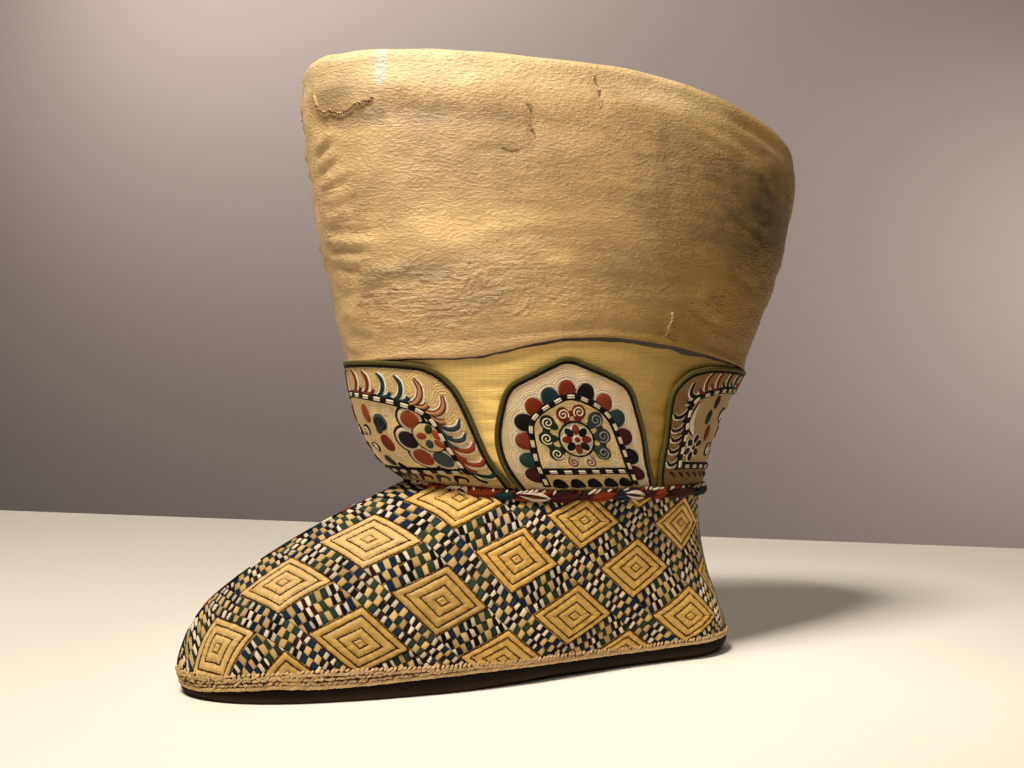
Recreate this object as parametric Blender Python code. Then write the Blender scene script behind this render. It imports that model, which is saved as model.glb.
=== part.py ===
"""A low embroidered cloth boot with a padded, flared cuff.

The toe points to -Y, the heel to +Y and +Z is up. The boot is straight, the same on both sides of x = 0.
Every wall, overlay and cord is worked out from three surfaces: the foot, the band above the ankle and the
cuff. Each surface is a stack of level loops. A loop is read from a short table and goes round from the
front (turn 0) past +X (turn 90 degrees) to the back (turn 180 degrees).

Sizes are in millimetres, y is measured back from the toe, and the last step puts the origin under the
middle of the whole boot.
"""

from collections import namedtuple
import math

import bmesh
import bpy
import numpy as np

MM = 0.001

# Walls and clearances
SEAT_GAP = 0.3
FOOT_WALL = 3.0
BAND_WALL = 3.0
CUFF_WALL = 8.0

# Sole and insole
SOLE_EDGE_INSET = 5.0
SOLE_SIDE_BULGE = 1.4
SOLE_SIDE_SHARE = 0.45
SOLE_ARCH_LIFT = 1.2
SOLE_TOE_SPRING = 1.6
INSOLE_THICKNESS = 2.4
INSOLE_INSET = 4.4

# Stitched edge binding
BINDING_PROUD = 1.7
BINDING_TOE_HEIGHT = 8.0
BINDING_HEEL_HEIGHT = 3.6
BINDING_DROP = 0.9
BINDING_SEAT = 0.5

# Cords and overlays
ANKLE_CORD_RADIUS = 2.6
VAMP_CORD_RADIUS = 1.2
PIPING_RADIUS = 1.15
PIPING_STANDOFF = 1.9
PANEL_SEAT = 0.7
PANEL_THICKNESS = 1.2

# Facets
FOOT_FACETS = 56
SHAFT_FACETS = 56
INSOLE_FACETS = 32

Level = namedtuple("Level", "share front_y front_z side_z back_y back_z half_width")

# The foot, from the sole's edge to the ankle. Its front runs up the toe and back along the vamp's ridge.
FOOT = [
    Level(0.00, 2.5, 3.5, 5.0, 258.4, 6.0, 42.0),
    Level(0.12, 0.7, 11.0, 12.5, 258.5, 14.0, 45.0),
    Level(0.28, 3.5, 22.0, 24.0, 254.5, 25.5, 46.5),
    Level(0.45, 11.0, 34.5, 37.0, 249.5, 37.5, 46.0),
    Level(0.62, 32.0, 51.0, 50.5, 246.5, 50.0, 44.5),
    Level(0.80, 62.0, 68.0, 65.0, 244.5, 63.5, 43.0),
    Level(1.00, 100.5, 85.5, 80.5, 243.5, 79.0, 42.0),
]

# Loops of the shaft say how square they are (2 is an oval) and how their height falls from the sides.
ShaftLevel = namedtuple("ShaftLevel", Level._fields + ("roundness", "arch"))

# The band, from the ankle to the cuff's seam, which arches up over each side.
BAND = [
    ShaftLevel(0.00, 100.5, 85.9, 80.9, 243.5, 79.4, 42.0, 2.00, 2.0),
    ShaftLevel(0.25, 86.0, 98.0, 96.5, 246.0, 93.0, 45.5, 2.05, 1.9),
    ShaftLevel(0.60, 76.5, 118.0, 120.0, 254.5, 115.0, 49.5, 2.10, 1.75),
    ShaftLevel(1.00, 72.5, 138.0, 150.0, 266.5, 135.0, 53.0, 2.15, 1.6),
]

# The cuff, from its seam to the start of the rounded rim.
CUFF = [
    ShaftLevel(0.00, 71.7, 138.3, 150.3, 267.3, 135.3, 53.8, 2.15, 1.6),
    ShaftLevel(0.12, 67.5, 152.0, 161.0, 273.0, 148.5, 56.0, 2.15, 1.6),
    ShaftLevel(0.35, 62.0, 178.0, 184.0, 283.5, 173.0, 58.5, 2.2, 1.6),
    ShaftLevel(0.65, 55.5, 212.0, 213.0, 291.5, 201.0, 60.0, 2.25, 1.6),
    ShaftLevel(0.90, 51.0, 246.0, 243.0, 296.0, 224.0, 60.0, 2.3, 1.6),
    ShaftLevel(1.00, 51.5, 261.0, 259.5, 295.0, 233.5, 59.2, 2.3, 1.6),
]

Outline = namedtuple("Outline", "along width")

# Half width of the sole as a share of its widest, against the share of its length from the toe.
SOLE_OUTLINE = [
    Outline(0.00, 0.78),
    Outline(0.16, 0.86),
    Outline(0.28, 0.965),
    Outline(0.40, 1.00),
    Outline(0.52, 0.95),
    Outline(0.64, 0.83),
    Outline(0.76, 0.71),
    Outline(0.88, 0.655),
    Outline(1.00, 0.62),
]
TOE_ROUNDING = 0.20
HEEL_ROUNDING = 0.12

# How much the front of each foot loop narrows to a ridge: 0.5 is round, 1 is a straight wedge.
Ridge = namedtuple("Ridge", "share power")
RIDGE = [
    Ridge(0.00, 0.50),
    Ridge(0.28, 0.52),
    Ridge(0.62, 0.58),
    Ridge(0.80, 0.58),
    Ridge(1.00, 0.50),
]

# Height of the sole's underside over the floor: flat under the heel and the forefoot.
Tread = namedtuple("Tread", "y lift")
TREAD = [
    Tread(0.0, SOLE_TOE_SPRING),
    Tread(16.0, 0.35),
    Tread(30.0, 0.0),
    Tread(112.0, 0.0),
    Tread(150.0, SOLE_ARCH_LIFT),
    Tread(188.0, 0.0),
    Tread(260.0, 0.0),
]

# Embroidered panels on the band: half width in degrees of turn against the share of the panel's height.
Edge = namedtuple("Edge", "rise half_turn")
SIDE_PANEL = [
    Edge(0.00, 23.8),
    Edge(0.30, 22.6),
    Edge(0.62, 18.7),
    Edge(0.80, 15.5),
    Edge(0.91, 8.0),
    Edge(1.00, 1.2),
]
FRONT_PANEL = [
    Edge(0.00, 57.0),
    Edge(0.45, 54.5),
    Edge(0.75, 50.5),
    Edge(0.92, 45.0),
    Edge(1.00, 40.0),
]
BACK_PANEL = [
    Edge(0.00, 62.0),
    Edge(0.30, 61.0),
    Edge(0.75, 64.0),
    Edge(0.92, 60.0),
    Edge(1.00, 53.0),
]
PANEL_FOOT = 0.10
SIDE_PANEL_TOP = 0.83
SIDE_PANEL_CENTRE = 88.0
SIDE_PANEL_LEAN = -6.0
FRONT_PANEL_TOP = 0.955
END_PANEL_DIP = 0.10

COLOURS = {
    "sole": (0.10, 0.08, 0.06),
    "insole": (0.42, 0.34, 0.22),
    "binding": (0.60, 0.46, 0.26),
    "foot": (0.52, 0.35, 0.13),
    "band": (0.56, 0.38, 0.13),
    "cuff": (0.50, 0.37, 0.19),
    "panel": (0.62, 0.52, 0.36),
    "piping": (0.09, 0.11, 0.04),
    "ankle_cord": (0.28, 0.05, 0.04),
    "vamp_cord": (0.20, 0.08, 0.05),
}
CLOTH_ROUGHNESS = 0.8


def clear_scene():
    for thing in list(bpy.data.objects):
        bpy.data.objects.remove(thing, do_unlink=True)


def monotone(knots, values, at):
    """Cubic curve through the knots that never overshoots them."""
    knots = np.asarray(knots, float)
    values = np.asarray(values, float)
    step = np.diff(knots)
    slope = np.diff(values) / step
    tangent = np.zeros_like(values)
    for i in range(1, len(knots) - 1):
        if slope[i - 1] * slope[i] > 0:
            before = 2 * step[i] + step[i - 1]
            after = step[i] + 2 * step[i - 1]
            tangent[i] = (before + after) / (before / slope[i - 1] + after / slope[i])
    tangent[0] = slope[0]
    tangent[-1] = slope[-1]
    at = np.clip(np.asarray(at, float), knots[0], knots[-1])
    i = np.clip(np.searchsorted(knots, at, side="right") - 1, 0, len(knots) - 2)
    t = (at - knots[i]) / step[i]
    rise = values[i] * (1 + 2 * t) * (1 - t) ** 2 + values[i + 1] * t * t * (3 - 2 * t)
    bend = step[i] * (tangent[i] * t * (1 - t) ** 2 + tangent[i + 1] * t * t * (t - 1))
    return rise + bend


def read_table(rows, at):
    """A row of the table at the given value of its first column."""
    columns = list(zip(*rows))
    return type(rows[0])(at, *[monotone(columns[0], c, at) for c in columns[1:]])


def loop_heights(level, t, power):
    """Height round a loop; t is -1 at the front, 0 at the sides and 1 at the back."""
    reach = np.where(t < 0, level.front_z - level.side_z, level.back_z - level.side_z)
    return level.side_z + reach * np.abs(t) ** power


def shaft_point(rows, turn, share):
    """Points on the band or the cuff; turn in degrees."""
    level = read_table(rows, share)
    c = -np.cos(np.radians(turn))
    s = np.sin(np.radians(turn))
    power = 2 / level.roundness
    t = np.sign(c) * np.abs(c) ** power
    x = level.half_width * np.sign(s) * np.abs(s) ** power
    y = (level.front_y + level.back_y) / 2 + (level.back_y - level.front_y) / 2 * t
    z = loop_heights(level, t, level.arch)
    return np.stack(np.broadcast_arrays(x, y, z), -1)


def sole_width(along):
    """Share of the sole's widest half width at a share of its length, rounded off at both ends."""
    width = monotone([r.along for r in SOLE_OUTLINE], [r.width for r in SOLE_OUTLINE], along)
    toe = 1 - np.clip(along / TOE_ROUNDING, 0, 1)
    heel = 1 - np.clip((1 - along) / HEEL_ROUNDING, 0, 1)
    return width * np.sqrt(1 - toe ** 2) * np.sqrt(1 - heel ** 2)


def foot_point(turn, share):
    """Points on the outside of the foot: the sole's outline below, an oval at the ankle above."""
    level = read_table(FOOT, share)
    ridge = read_table(RIDGE, share)
    along = (1 - np.cos(np.radians(turn))) / 2
    oval = np.sqrt(np.clip(1 - (2 * along - 1) ** 2, 0, 1))
    blend = np.clip(np.asarray(share) / 0.95, 0, 1)
    blend = blend * blend * (3 - 2 * blend)
    width = sole_width(along) * (1 - blend) + oval * blend
    wedge = np.clip(2 * along, 1e-9, 1) ** (ridge.power - 0.5)
    side = np.sign(np.sin(np.radians(turn)) + 1e-12)
    x = level.half_width * width * wedge * side
    y = level.front_y + (level.back_y - level.front_y) * along
    z = loop_heights(level, 2 * along - 1, 2)
    return np.stack(np.broadcast_arrays(x, y, z), -1)


def band_point(turn, share):
    return shaft_point(BAND, turn, share)


def cuff_point(turn, share):
    return shaft_point(CUFF, turn, share)


def frame_at(surface, turn, share):
    """Point, outward normal and upward tangent on a surface."""
    turn_step = 2.0
    share_step = 0.01
    low = np.clip(np.asarray(share) - share_step, 0, 1)
    high = np.clip(np.asarray(share) + share_step, 0, 1)
    around = surface(turn + turn_step, share) - surface(turn - turn_step, share)
    up = surface(turn, high) - surface(turn, low)
    normal = np.cross(around, up)
    normal /= np.linalg.norm(normal, axis=-1, keepdims=True)
    up /= np.linalg.norm(up, axis=-1, keepdims=True)
    return surface(turn, share), normal, up


def on_surface(surface, turn, share, lift):
    point, normal, _ = frame_at(surface, turn, share)
    return point + normal * np.asarray(lift)[..., None]


def cloth_material(name):
    material = bpy.data.materials.get(name)
    if material is None:
        material = bpy.data.materials.new(name)
        material.use_nodes = True
        shader = material.node_tree.nodes["Principled BSDF"]
        shader.inputs["Base Color"].default_value = (*COLOURS[name], 1)
        shader.inputs["Roughness"].default_value = CLOTH_ROUGHNESS
        shader.inputs["Metallic"].default_value = 0.0
    return material


def add_mesh(name, points, faces, material):
    mesh = bpy.data.meshes.new(name)
    mesh.from_pydata([tuple(float(c) * MM for c in p) for p in points], [], faces)
    shape = bmesh.new()
    shape.from_mesh(mesh)
    bmesh.ops.recalc_face_normals(shape, faces=shape.faces)
    shape.to_mesh(mesh)
    shape.free()
    mesh.shade_smooth()
    mesh.materials.append(cloth_material(material))
    piece = bpy.data.objects.new(name, mesh)
    bpy.context.scene.collection.objects.link(piece)
    return piece


def closed_rings(name, rings, material):
    """A ring-shaped solid: closed loops of equal count, joined in order and the last to the first."""
    rings = [np.asarray(r) for r in rings]
    count = len(rings[0])
    faces = []
    for i in range(len(rings)):
        following = (i + 1) % len(rings)
        for j in range(count):
            k = (j + 1) % count
            faces.append((i * count + j, i * count + k, following * count + k, following * count + j))
    return add_mesh(name, np.concatenate(rings), faces, material)


def lofted_sections(name, sections, material):
    """A solid through closed sections of equal count, with flat end caps."""
    sections = [np.asarray(s) for s in sections]
    count = len(sections[0])
    faces = [tuple(reversed(range(count)))]
    for i in range(len(sections) - 1):
        for j in range(count):
            k = (j + 1) % count
            faces.append((i * count + j, i * count + k, (i + 1) * count + k, (i + 1) * count + j))
    last = (len(sections) - 1) * count
    faces.append(tuple(last + j for j in range(count)))
    return add_mesh(name, np.concatenate(sections), faces, material)


def slab(name, rings, material):
    """A solid between the first and last of its level rings, whose ends are closed by strips across x."""
    rings = [np.asarray(r) for r in rings]
    count = len(rings[0])
    faces = []
    for i in range(len(rings) - 1):
        for j in range(count):
            k = (j + 1) % count
            faces.append((i * count + j, i * count + k, (i + 1) * count + k, (i + 1) * count + j))
    for first in (0, (len(rings) - 1) * count):
        faces.append((first, first + 1, first + count - 1))
        for j in range(1, count // 2 - 1):
            faces.append((first + j, first + j + 1, first + count - j - 1, first + count - j))
        faces.append((first + count // 2 - 1, first + count // 2, first + count // 2 + 1))
    return add_mesh(name, np.concatenate(rings), faces, material)


def even_turns(count):
    return np.arange(count) * 360 / count


def wall_rings(surface, turns, shares, thickness):
    """Loops up the outside of a wall, over its top edge and down its inside."""
    outside = [on_surface(surface, turns, s, np.zeros_like(turns)) for s in shares]
    inside = [on_surface(surface, turns, s, np.full_like(turns, -thickness)) for s in reversed(shares)]
    return outside, inside


def make_foot_upper():
    """Quilted foot cloth, open at the ankle and underneath."""
    shares = [0.0, 0.06, 0.14, 0.24, 0.35, 0.46, 0.58, 0.70, 0.84, 1.0]
    outside, inside = wall_rings(foot_point, even_turns(FOOT_FACETS), shares, FOOT_WALL)
    return closed_rings("foot_upper", outside + inside, "foot")


def make_shaft_band():
    shares = [0.0, 0.2, 0.45, 0.72, 1.0]
    outside, inside = wall_rings(band_point, even_turns(SHAFT_FACETS), shares, BAND_WALL)
    return closed_rings("shaft_band", outside + inside, "band")


def make_cuff():
    """Padded cuff with a half-round rim."""
    turns = even_turns(SHAFT_FACETS)
    shares = [0.0, 0.04, 0.13, 0.3, 0.5, 0.7, 0.87, 1.0]
    outside, inside = wall_rings(cuff_point, turns, shares, CUFF_WALL)
    rim, normal, up = frame_at(cuff_point, turns, 1.0)
    radius = CUFF_WALL / 2
    over = []
    for bend in (40, 90, 140):
        angle = math.radians(bend)
        over.append(rim - normal * radius + radius * (normal * math.cos(angle) + up * math.sin(angle)))
    return closed_rings("cuff", outside + over + inside, "cuff")


def tread_height(y):
    return monotone([r.y for r in TREAD], [r.lift for r in TREAD], y)


def sole_ring(turns, inset, height):
    """The foot's lower outline moved inwards, at heights given by a function of y."""
    point, normal, _ = frame_at(foot_point, turns, 0.0)
    normal[:, 2] = 0
    normal /= np.linalg.norm(normal, axis=-1, keepdims=True)
    ring = point - normal * inset
    ring[:, 2] = height(ring[:, 1])
    return ring


def upper_edge_height(y):
    """Height of the foot's lower edge over the floor."""
    along = (y - FOOT[0].front_y) / (FOOT[0].back_y - FOOT[0].front_y)
    return loop_heights(FOOT[0], np.clip(2 * along - 1, -1, 1), 2)


def make_sole():
    """Flat cloth sole with a rounded side, standing on its heel and forefoot."""
    turns = even_turns(FOOT_FACETS)

    def top_height(y):
        return upper_edge_height(y) - SEAT_GAP

    def side_height(y):
        return tread_height(y) + SOLE_SIDE_SHARE * (top_height(y) - tread_height(y))

    rings = [
        sole_ring(turns, 0.0, top_height),
        sole_ring(turns, SOLE_SIDE_BULGE, side_height),
        sole_ring(turns, SOLE_EDGE_INSET, tread_height),
    ]
    return slab("sole", rings, "sole")


def make_insole():
    turns = even_turns(INSOLE_FACETS)

    def low(y):
        return upper_edge_height(y)

    def high(y):
        return upper_edge_height(y) + INSOLE_THICKNESS

    rings = [sole_ring(turns, INSOLE_INSET, low), sole_ring(turns, INSOLE_INSET, high)]
    return slab("insole", rings, "insole")


def binding_height(turns):
    """The stitched edge is tallest round the toe and thins towards the heel."""
    back = (1 - np.cos(np.radians(turns))) / 2
    return BINDING_TOE_HEIGHT + (BINDING_HEEL_HEIGHT - BINDING_TOE_HEIGHT) * back ** 0.7


def make_edge_binding():
    """Stitched strip that covers the joint between the foot and the sole."""
    turns = even_turns(FOOT_FACETS)
    height = binding_height(turns)
    rise = FOOT[1].side_z - FOOT[0].side_z
    top_share = FOOT[1].share * height / rise
    inner_low = on_surface(foot_point, turns, 0.0, np.full_like(turns, BINDING_SEAT))
    inner_high = on_surface(foot_point, turns, top_share, np.full_like(turns, BINDING_SEAT))
    outer_high = on_surface(foot_point, turns, top_share * 0.88, np.full_like(turns, BINDING_PROUD * 0.8))
    outer_mid = on_surface(foot_point, turns, top_share * 0.45, np.full_like(turns, BINDING_PROUD))
    outer_low = on_surface(foot_point, turns, 0.0, np.full_like(turns, BINDING_PROUD * 0.9))
    for ring in (inner_low, outer_low):
        ring[:, 2] -= BINDING_DROP
    rings = [outer_low, outer_mid, outer_high, inner_high, inner_low]
    return closed_rings("sole_edge_binding", rings, "binding")


def tube_rings(centres, side_axis, up_axis, radius, sides):
    """Sections of a tube, one for each centre."""
    angles = 2 * math.pi * np.arange(sides) / sides
    rings = []
    for centre, across, up in zip(centres, side_axis, up_axis):
        rings.append([centre + radius * (math.cos(a) * across + math.sin(a) * up) for a in angles])
    return rings


def make_ankle_cord():
    """Cord laid in the groove between the foot and the band."""
    turns = even_turns(SHAFT_FACETS)
    point, foot_normal, _ = frame_at(foot_point, turns, 1.0)
    _, band_normal, _ = frame_at(band_point, turns, 0.0)
    out = foot_normal + band_normal
    out /= np.linalg.norm(out, axis=-1, keepdims=True)
    openness = np.sum(out * foot_normal, axis=-1)
    centres = point + out * ((ANKLE_CORD_RADIUS + 2 * SEAT_GAP) / openness)[:, None]
    along = np.roll(centres, -1, 0) - np.roll(centres, 1, 0)
    along /= np.linalg.norm(along, axis=-1, keepdims=True)
    up = np.cross(out, along)
    rings = tube_rings(centres, out, up, ANKLE_CORD_RADIUS, 6)
    loops = [np.array([ring[k] for ring in rings]) for k in range(6)]
    return closed_rings("ankle_cord", loops, "ankle_cord")


def make_vamp_cord():
    """Cord over the seam along the ridge, from above the toe's binding to the ankle cord."""
    shares = np.linspace(0.16, 0.93, 18)
    turns = np.zeros_like(shares)
    lift = VAMP_CORD_RADIUS + 1.5 * SEAT_GAP
    point, normal, _ = frame_at(foot_point, turns, shares)
    centres = point + normal * lift
    sideways = np.tile([1.0, 0.0, 0.0], (len(shares), 1))
    return lofted_sections(
        "vamp_seam_cord", tube_rings(centres, sideways, normal, VAMP_CORD_RADIUS, 6), "vamp_cord"
    )


def side_panel_spot(across, rise, side):
    """Turn and share on the band for a place on a side panel; across runs -1 to 1 and rise 0 to 1."""
    half = monotone([e.rise for e in SIDE_PANEL], [e.half_turn for e in SIDE_PANEL], rise)
    share = PANEL_FOOT + (SIDE_PANEL_TOP - PANEL_FOOT) * rise
    turn = SIDE_PANEL_CENTRE + SIDE_PANEL_LEAN * share / SIDE_PANEL_TOP + across * half
    return side * turn, share


def end_panel_spot(across, rise, edges, centre):
    """The same on the front or back panel, whose top edge dips away from the seam's arch."""
    half = monotone([e.rise for e in edges], [e.half_turn for e in edges], rise)
    top = FRONT_PANEL_TOP - END_PANEL_DIP * np.abs(across) ** 2
    return centre + across * half, PANEL_FOOT + (top - PANEL_FOOT) * rise


def panel_solid(name, spot, columns, rows):
    """A thin shell on the band, lofted upwards in strips."""
    across = np.linspace(-1, 1, columns)
    sections = []
    for rise in np.linspace(0, 1, rows):
        turn, share = spot(across, rise)
        share = np.broadcast_to(share, across.shape)
        outer = on_surface(band_point, turn, share, np.full(columns, PANEL_SEAT + PANEL_THICKNESS))
        inner = on_surface(band_point, turn, share, np.full(columns, PANEL_SEAT))
        sections.append(np.concatenate([outer, inner[::-1]]))
    return lofted_sections(name, sections, "panel")


def piping_cord(name, spot, columns, rows):
    """Cord couched round the sides and top of a panel, just outside its edge."""
    climb = np.linspace(0, 1, rows)
    over = np.linspace(-1, 1, columns)[1:-1]
    across = np.concatenate([-np.ones(rows), over, np.ones(rows)])
    rise = np.concatenate([climb, np.ones(len(over)), climb[::-1]])
    places = [spot(a, r) for a, r in zip(across, rise)]
    turn = np.array([float(p[0]) for p in places])
    share = np.array([float(p[1]) for p in places])
    point, normal, _ = frame_at(band_point, turn, share)
    along = np.gradient(point, axis=0)
    along /= np.linalg.norm(along, axis=-1, keepdims=True)
    outward = np.cross(normal, along)
    middle = point.mean(0)
    if np.sum(outward * (point - middle)) < 0:
        outward = -outward
    centres = point + outward * PIPING_STANDOFF + normal * (PIPING_RADIUS + PANEL_SEAT)
    return lofted_sections(name, tube_rings(centres, outward, normal, PIPING_RADIUS, 5), "piping")


def make_panels():
    """Four embroidered panels and the green cords round them."""

    def left(across, rise):
        return side_panel_spot(across, rise, 1)

    def right(across, rise):
        return side_panel_spot(across, rise, -1)

    def front(across, rise):
        return end_panel_spot(across, rise, FRONT_PANEL, 0.0)

    def back(across, rise):
        return end_panel_spot(across, rise, BACK_PANEL, 180.0)

    panel_solid("side_panel_left", left, 9, 9)
    panel_solid("side_panel_right", right, 9, 9)
    panel_solid("front_panel", front, 19, 7)
    panel_solid("back_panel", back, 19, 7)
    piping_cord("side_piping_left", left, 3, 9)
    piping_cord("side_piping_right", right, 3, 9)
    piping_cord("front_piping", front, 19, 7)
    piping_cord("back_piping", back, 19, 7)


def centre_on_floor():
    """Puts the origin under the middle of the whole boot."""
    pieces = [o for o in bpy.data.objects if o.type == "MESH"]
    depth = [v.co.y for o in pieces for v in o.data.vertices]
    shift = -(min(depth) + max(depth)) / 2
    for piece in pieces:
        for vertex in piece.data.vertices:
            vertex.co.y += shift
        piece.data.update()


def build():
    clear_scene()
    make_sole()
    make_insole()
    make_foot_upper()
    make_edge_binding()
    make_vamp_cord()
    make_ankle_cord()
    make_shaft_band()
    make_panels()
    make_cuff()
    centre_on_floor()


build()
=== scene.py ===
"""The looks of a low embroidered cloth boot: a padded silk cuff, an embroidered band and a quilted foot.

Everything is worked out in millimetres on the three surfaces that the solids are built from: the foot, the
band and the cuff. A place on one is a turn, in degrees from the front (0) past +X (90) to the back (180),
and a share of its height. Embroidery is drawn flat and wrapped onto these surfaces; the far side mirrors the
near one. y is measured back from the toe until a piece is made.
"""

from collections import namedtuple
import math

import bpy
import numpy as np
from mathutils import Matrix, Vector, kdtree


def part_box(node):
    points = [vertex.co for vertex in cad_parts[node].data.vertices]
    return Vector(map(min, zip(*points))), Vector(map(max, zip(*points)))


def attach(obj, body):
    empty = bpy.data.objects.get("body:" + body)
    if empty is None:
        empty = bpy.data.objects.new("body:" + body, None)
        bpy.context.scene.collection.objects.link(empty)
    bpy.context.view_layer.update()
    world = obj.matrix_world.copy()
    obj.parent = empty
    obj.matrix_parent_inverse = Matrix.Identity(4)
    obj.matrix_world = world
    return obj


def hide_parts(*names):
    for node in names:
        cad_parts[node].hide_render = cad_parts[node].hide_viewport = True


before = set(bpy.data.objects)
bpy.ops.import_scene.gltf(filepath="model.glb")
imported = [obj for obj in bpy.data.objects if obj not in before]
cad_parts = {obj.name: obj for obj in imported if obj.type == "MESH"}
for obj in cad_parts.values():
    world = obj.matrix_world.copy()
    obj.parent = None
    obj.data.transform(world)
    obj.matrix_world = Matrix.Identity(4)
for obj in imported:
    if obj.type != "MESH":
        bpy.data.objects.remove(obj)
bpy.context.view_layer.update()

MM = 0.001


def table(kind, *rows):
    return [kind(*row) for row in rows]


# ---------------------------------------------------------------- surfaces of the boot

Level = namedtuple("Level", "share front_y front_z side_z back_y back_z half_width")
ShaftLevel = namedtuple("ShaftLevel", Level._fields + ("roundness", "arch"))

FOOT = [
    Level(0.00, 2.5, 3.5, 5.0, 258.4, 6.0, 42.0),
    Level(0.12, 0.7, 11.0, 12.5, 258.5, 14.0, 45.0),
    Level(0.28, 3.5, 22.0, 24.0, 254.5, 25.5, 46.5),
    Level(0.45, 11.0, 34.5, 37.0, 249.5, 37.5, 46.0),
    Level(0.62, 32.0, 51.0, 50.5, 246.5, 50.0, 44.5),
    Level(0.80, 62.0, 68.0, 65.0, 244.5, 63.5, 43.0),
    Level(1.00, 100.5, 85.5, 80.5, 243.5, 79.0, 42.0),
]
BAND = [
    ShaftLevel(0.00, 100.5, 85.9, 80.9, 243.5, 79.4, 42.0, 2.00, 2.0),
    ShaftLevel(0.25, 86.0, 98.0, 96.5, 246.0, 93.0, 45.5, 2.05, 1.9),
    ShaftLevel(0.60, 76.5, 118.0, 120.0, 254.5, 115.0, 49.5, 2.10, 1.75),
    ShaftLevel(1.00, 72.5, 138.0, 150.0, 266.5, 135.0, 53.0, 2.15, 1.6),
]
CUFF = [
    ShaftLevel(0.00, 71.7, 138.3, 150.3, 267.3, 135.3, 53.8, 2.15, 1.6),
    ShaftLevel(0.12, 67.5, 152.0, 161.0, 273.0, 148.5, 56.0, 2.15, 1.6),
    ShaftLevel(0.35, 62.0, 178.0, 184.0, 283.5, 173.0, 58.5, 2.2, 1.6),
    ShaftLevel(0.65, 55.5, 212.0, 213.0, 291.5, 201.0, 60.0, 2.25, 1.6),
    ShaftLevel(0.90, 51.0, 246.0, 243.0, 296.0, 224.0, 60.0, 2.3, 1.6),
    ShaftLevel(1.00, 51.5, 261.0, 259.5, 295.0, 233.5, 59.2, 2.3, 1.6),
]
SOLE_ALONG = (0.0, 0.16, 0.28, 0.40, 0.52, 0.64, 0.76, 0.88, 1.0)
SOLE_WIDTH = (0.78, 0.86, 0.965, 1.0, 0.95, 0.83, 0.71, 0.655, 0.62)
RIDGE_SHARE = (0.0, 0.28, 0.62, 0.80, 1.0)
RIDGE_POWER = (0.50, 0.52, 0.58, 0.58, 0.50)
TOE_ROUNDING = 0.20
HEEL_ROUNDING = 0.12
FOOT_WALL = 3.0
BAND_WALL = 3.0
CUFF_WALL = 8.0
PANEL_FACE = 1.9
PANEL_FOOT = 0.10
# Millimetres round the boot to a degree of turn.
FOOT_ARC, EDGE_ARC, BAND_ARC = 1.5, 1.6, 1.45

TOE_TIP = min(level.front_y for level in FOOT)
BACK_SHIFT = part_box("foot_upper")[0].y / MM - TOE_TIP


def monotone(knots, values, at):
    """Cubic curve through the knots that never overshoots them."""
    knots = np.asarray(knots, float)
    values = np.asarray(values, float)
    step = np.diff(knots)
    slope = np.diff(values) / step
    tangent = np.zeros_like(values)
    for i in range(1, len(knots) - 1):
        if slope[i - 1] * slope[i] > 0:
            before = 2 * step[i] + step[i - 1]
            after = step[i] + 2 * step[i - 1]
            tangent[i] = (before + after) / (before / slope[i - 1] + after / slope[i])
    tangent[0] = slope[0]
    tangent[-1] = slope[-1]
    at = np.clip(np.asarray(at, float), knots[0], knots[-1])
    i = np.clip(np.searchsorted(knots, at, side="right") - 1, 0, len(knots) - 2)
    t = (at - knots[i]) / step[i]
    rise = values[i] * (1 + 2 * t) * (1 - t) ** 2 + values[i + 1] * t * t * (3 - 2 * t)
    bend = step[i] * (tangent[i] * t * (1 - t) ** 2 + tangent[i + 1] * t * t * (t - 1))
    return rise + bend


def read_table(rows, at):
    columns = list(zip(*rows))
    return type(rows[0])(at, *[monotone(columns[0], c, at) for c in columns[1:]])


def loop_heights(level, t, power):
    """Height round a loop; t is -1 at the front, 0 at the sides and 1 at the back."""
    reach = np.where(t < 0, level.front_z - level.side_z, level.back_z - level.side_z)
    return level.side_z + reach * np.abs(t) ** power


def shaft_point(rows, turn, share):
    level = read_table(rows, share)
    c = -np.cos(np.radians(turn))
    s = np.sin(np.radians(turn))
    power = 2 / level.roundness
    t = np.sign(c) * np.abs(c) ** power
    x = level.half_width * np.sign(s) * np.abs(s) ** power
    y = (level.front_y + level.back_y) / 2 + (level.back_y - level.front_y) / 2 * t
    z = loop_heights(level, t, level.arch)
    return np.stack(np.broadcast_arrays(x, y, z), -1)


def sole_width(along):
    width = monotone(SOLE_ALONG, SOLE_WIDTH, along)
    toe = 1 - np.clip(along / TOE_ROUNDING, 0, 1)
    heel = 1 - np.clip((1 - along) / HEEL_ROUNDING, 0, 1)
    return width * np.sqrt(1 - toe ** 2) * np.sqrt(1 - heel ** 2)


def foot_point(turn, share):
    level = read_table(FOOT, share)
    along = (1 - np.cos(np.radians(turn))) / 2
    oval = np.sqrt(np.clip(1 - (2 * along - 1) ** 2, 0, 1))
    blend = smooth(np.asarray(share) / 0.95)
    width = sole_width(along) * (1 - blend) + oval * blend
    wedge = np.clip(2 * along, 1e-9, 1) ** (monotone(RIDGE_SHARE, RIDGE_POWER, share) - 0.5)
    side = np.sign(np.sin(np.radians(turn)) + 1e-12)
    x = level.half_width * width * wedge * side
    y = level.front_y + (level.back_y - level.front_y) * along
    z = loop_heights(level, 2 * along - 1, 2)
    return np.stack(np.broadcast_arrays(x, y, z), -1)


def band_point(turn, share):
    return shaft_point(BAND, turn, share)


def cuff_point(turn, share):
    return shaft_point(CUFF, turn, share)


def unit(vectors):
    return vectors / np.maximum(np.linalg.norm(vectors, axis=-1, keepdims=True), 1e-9)


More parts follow.
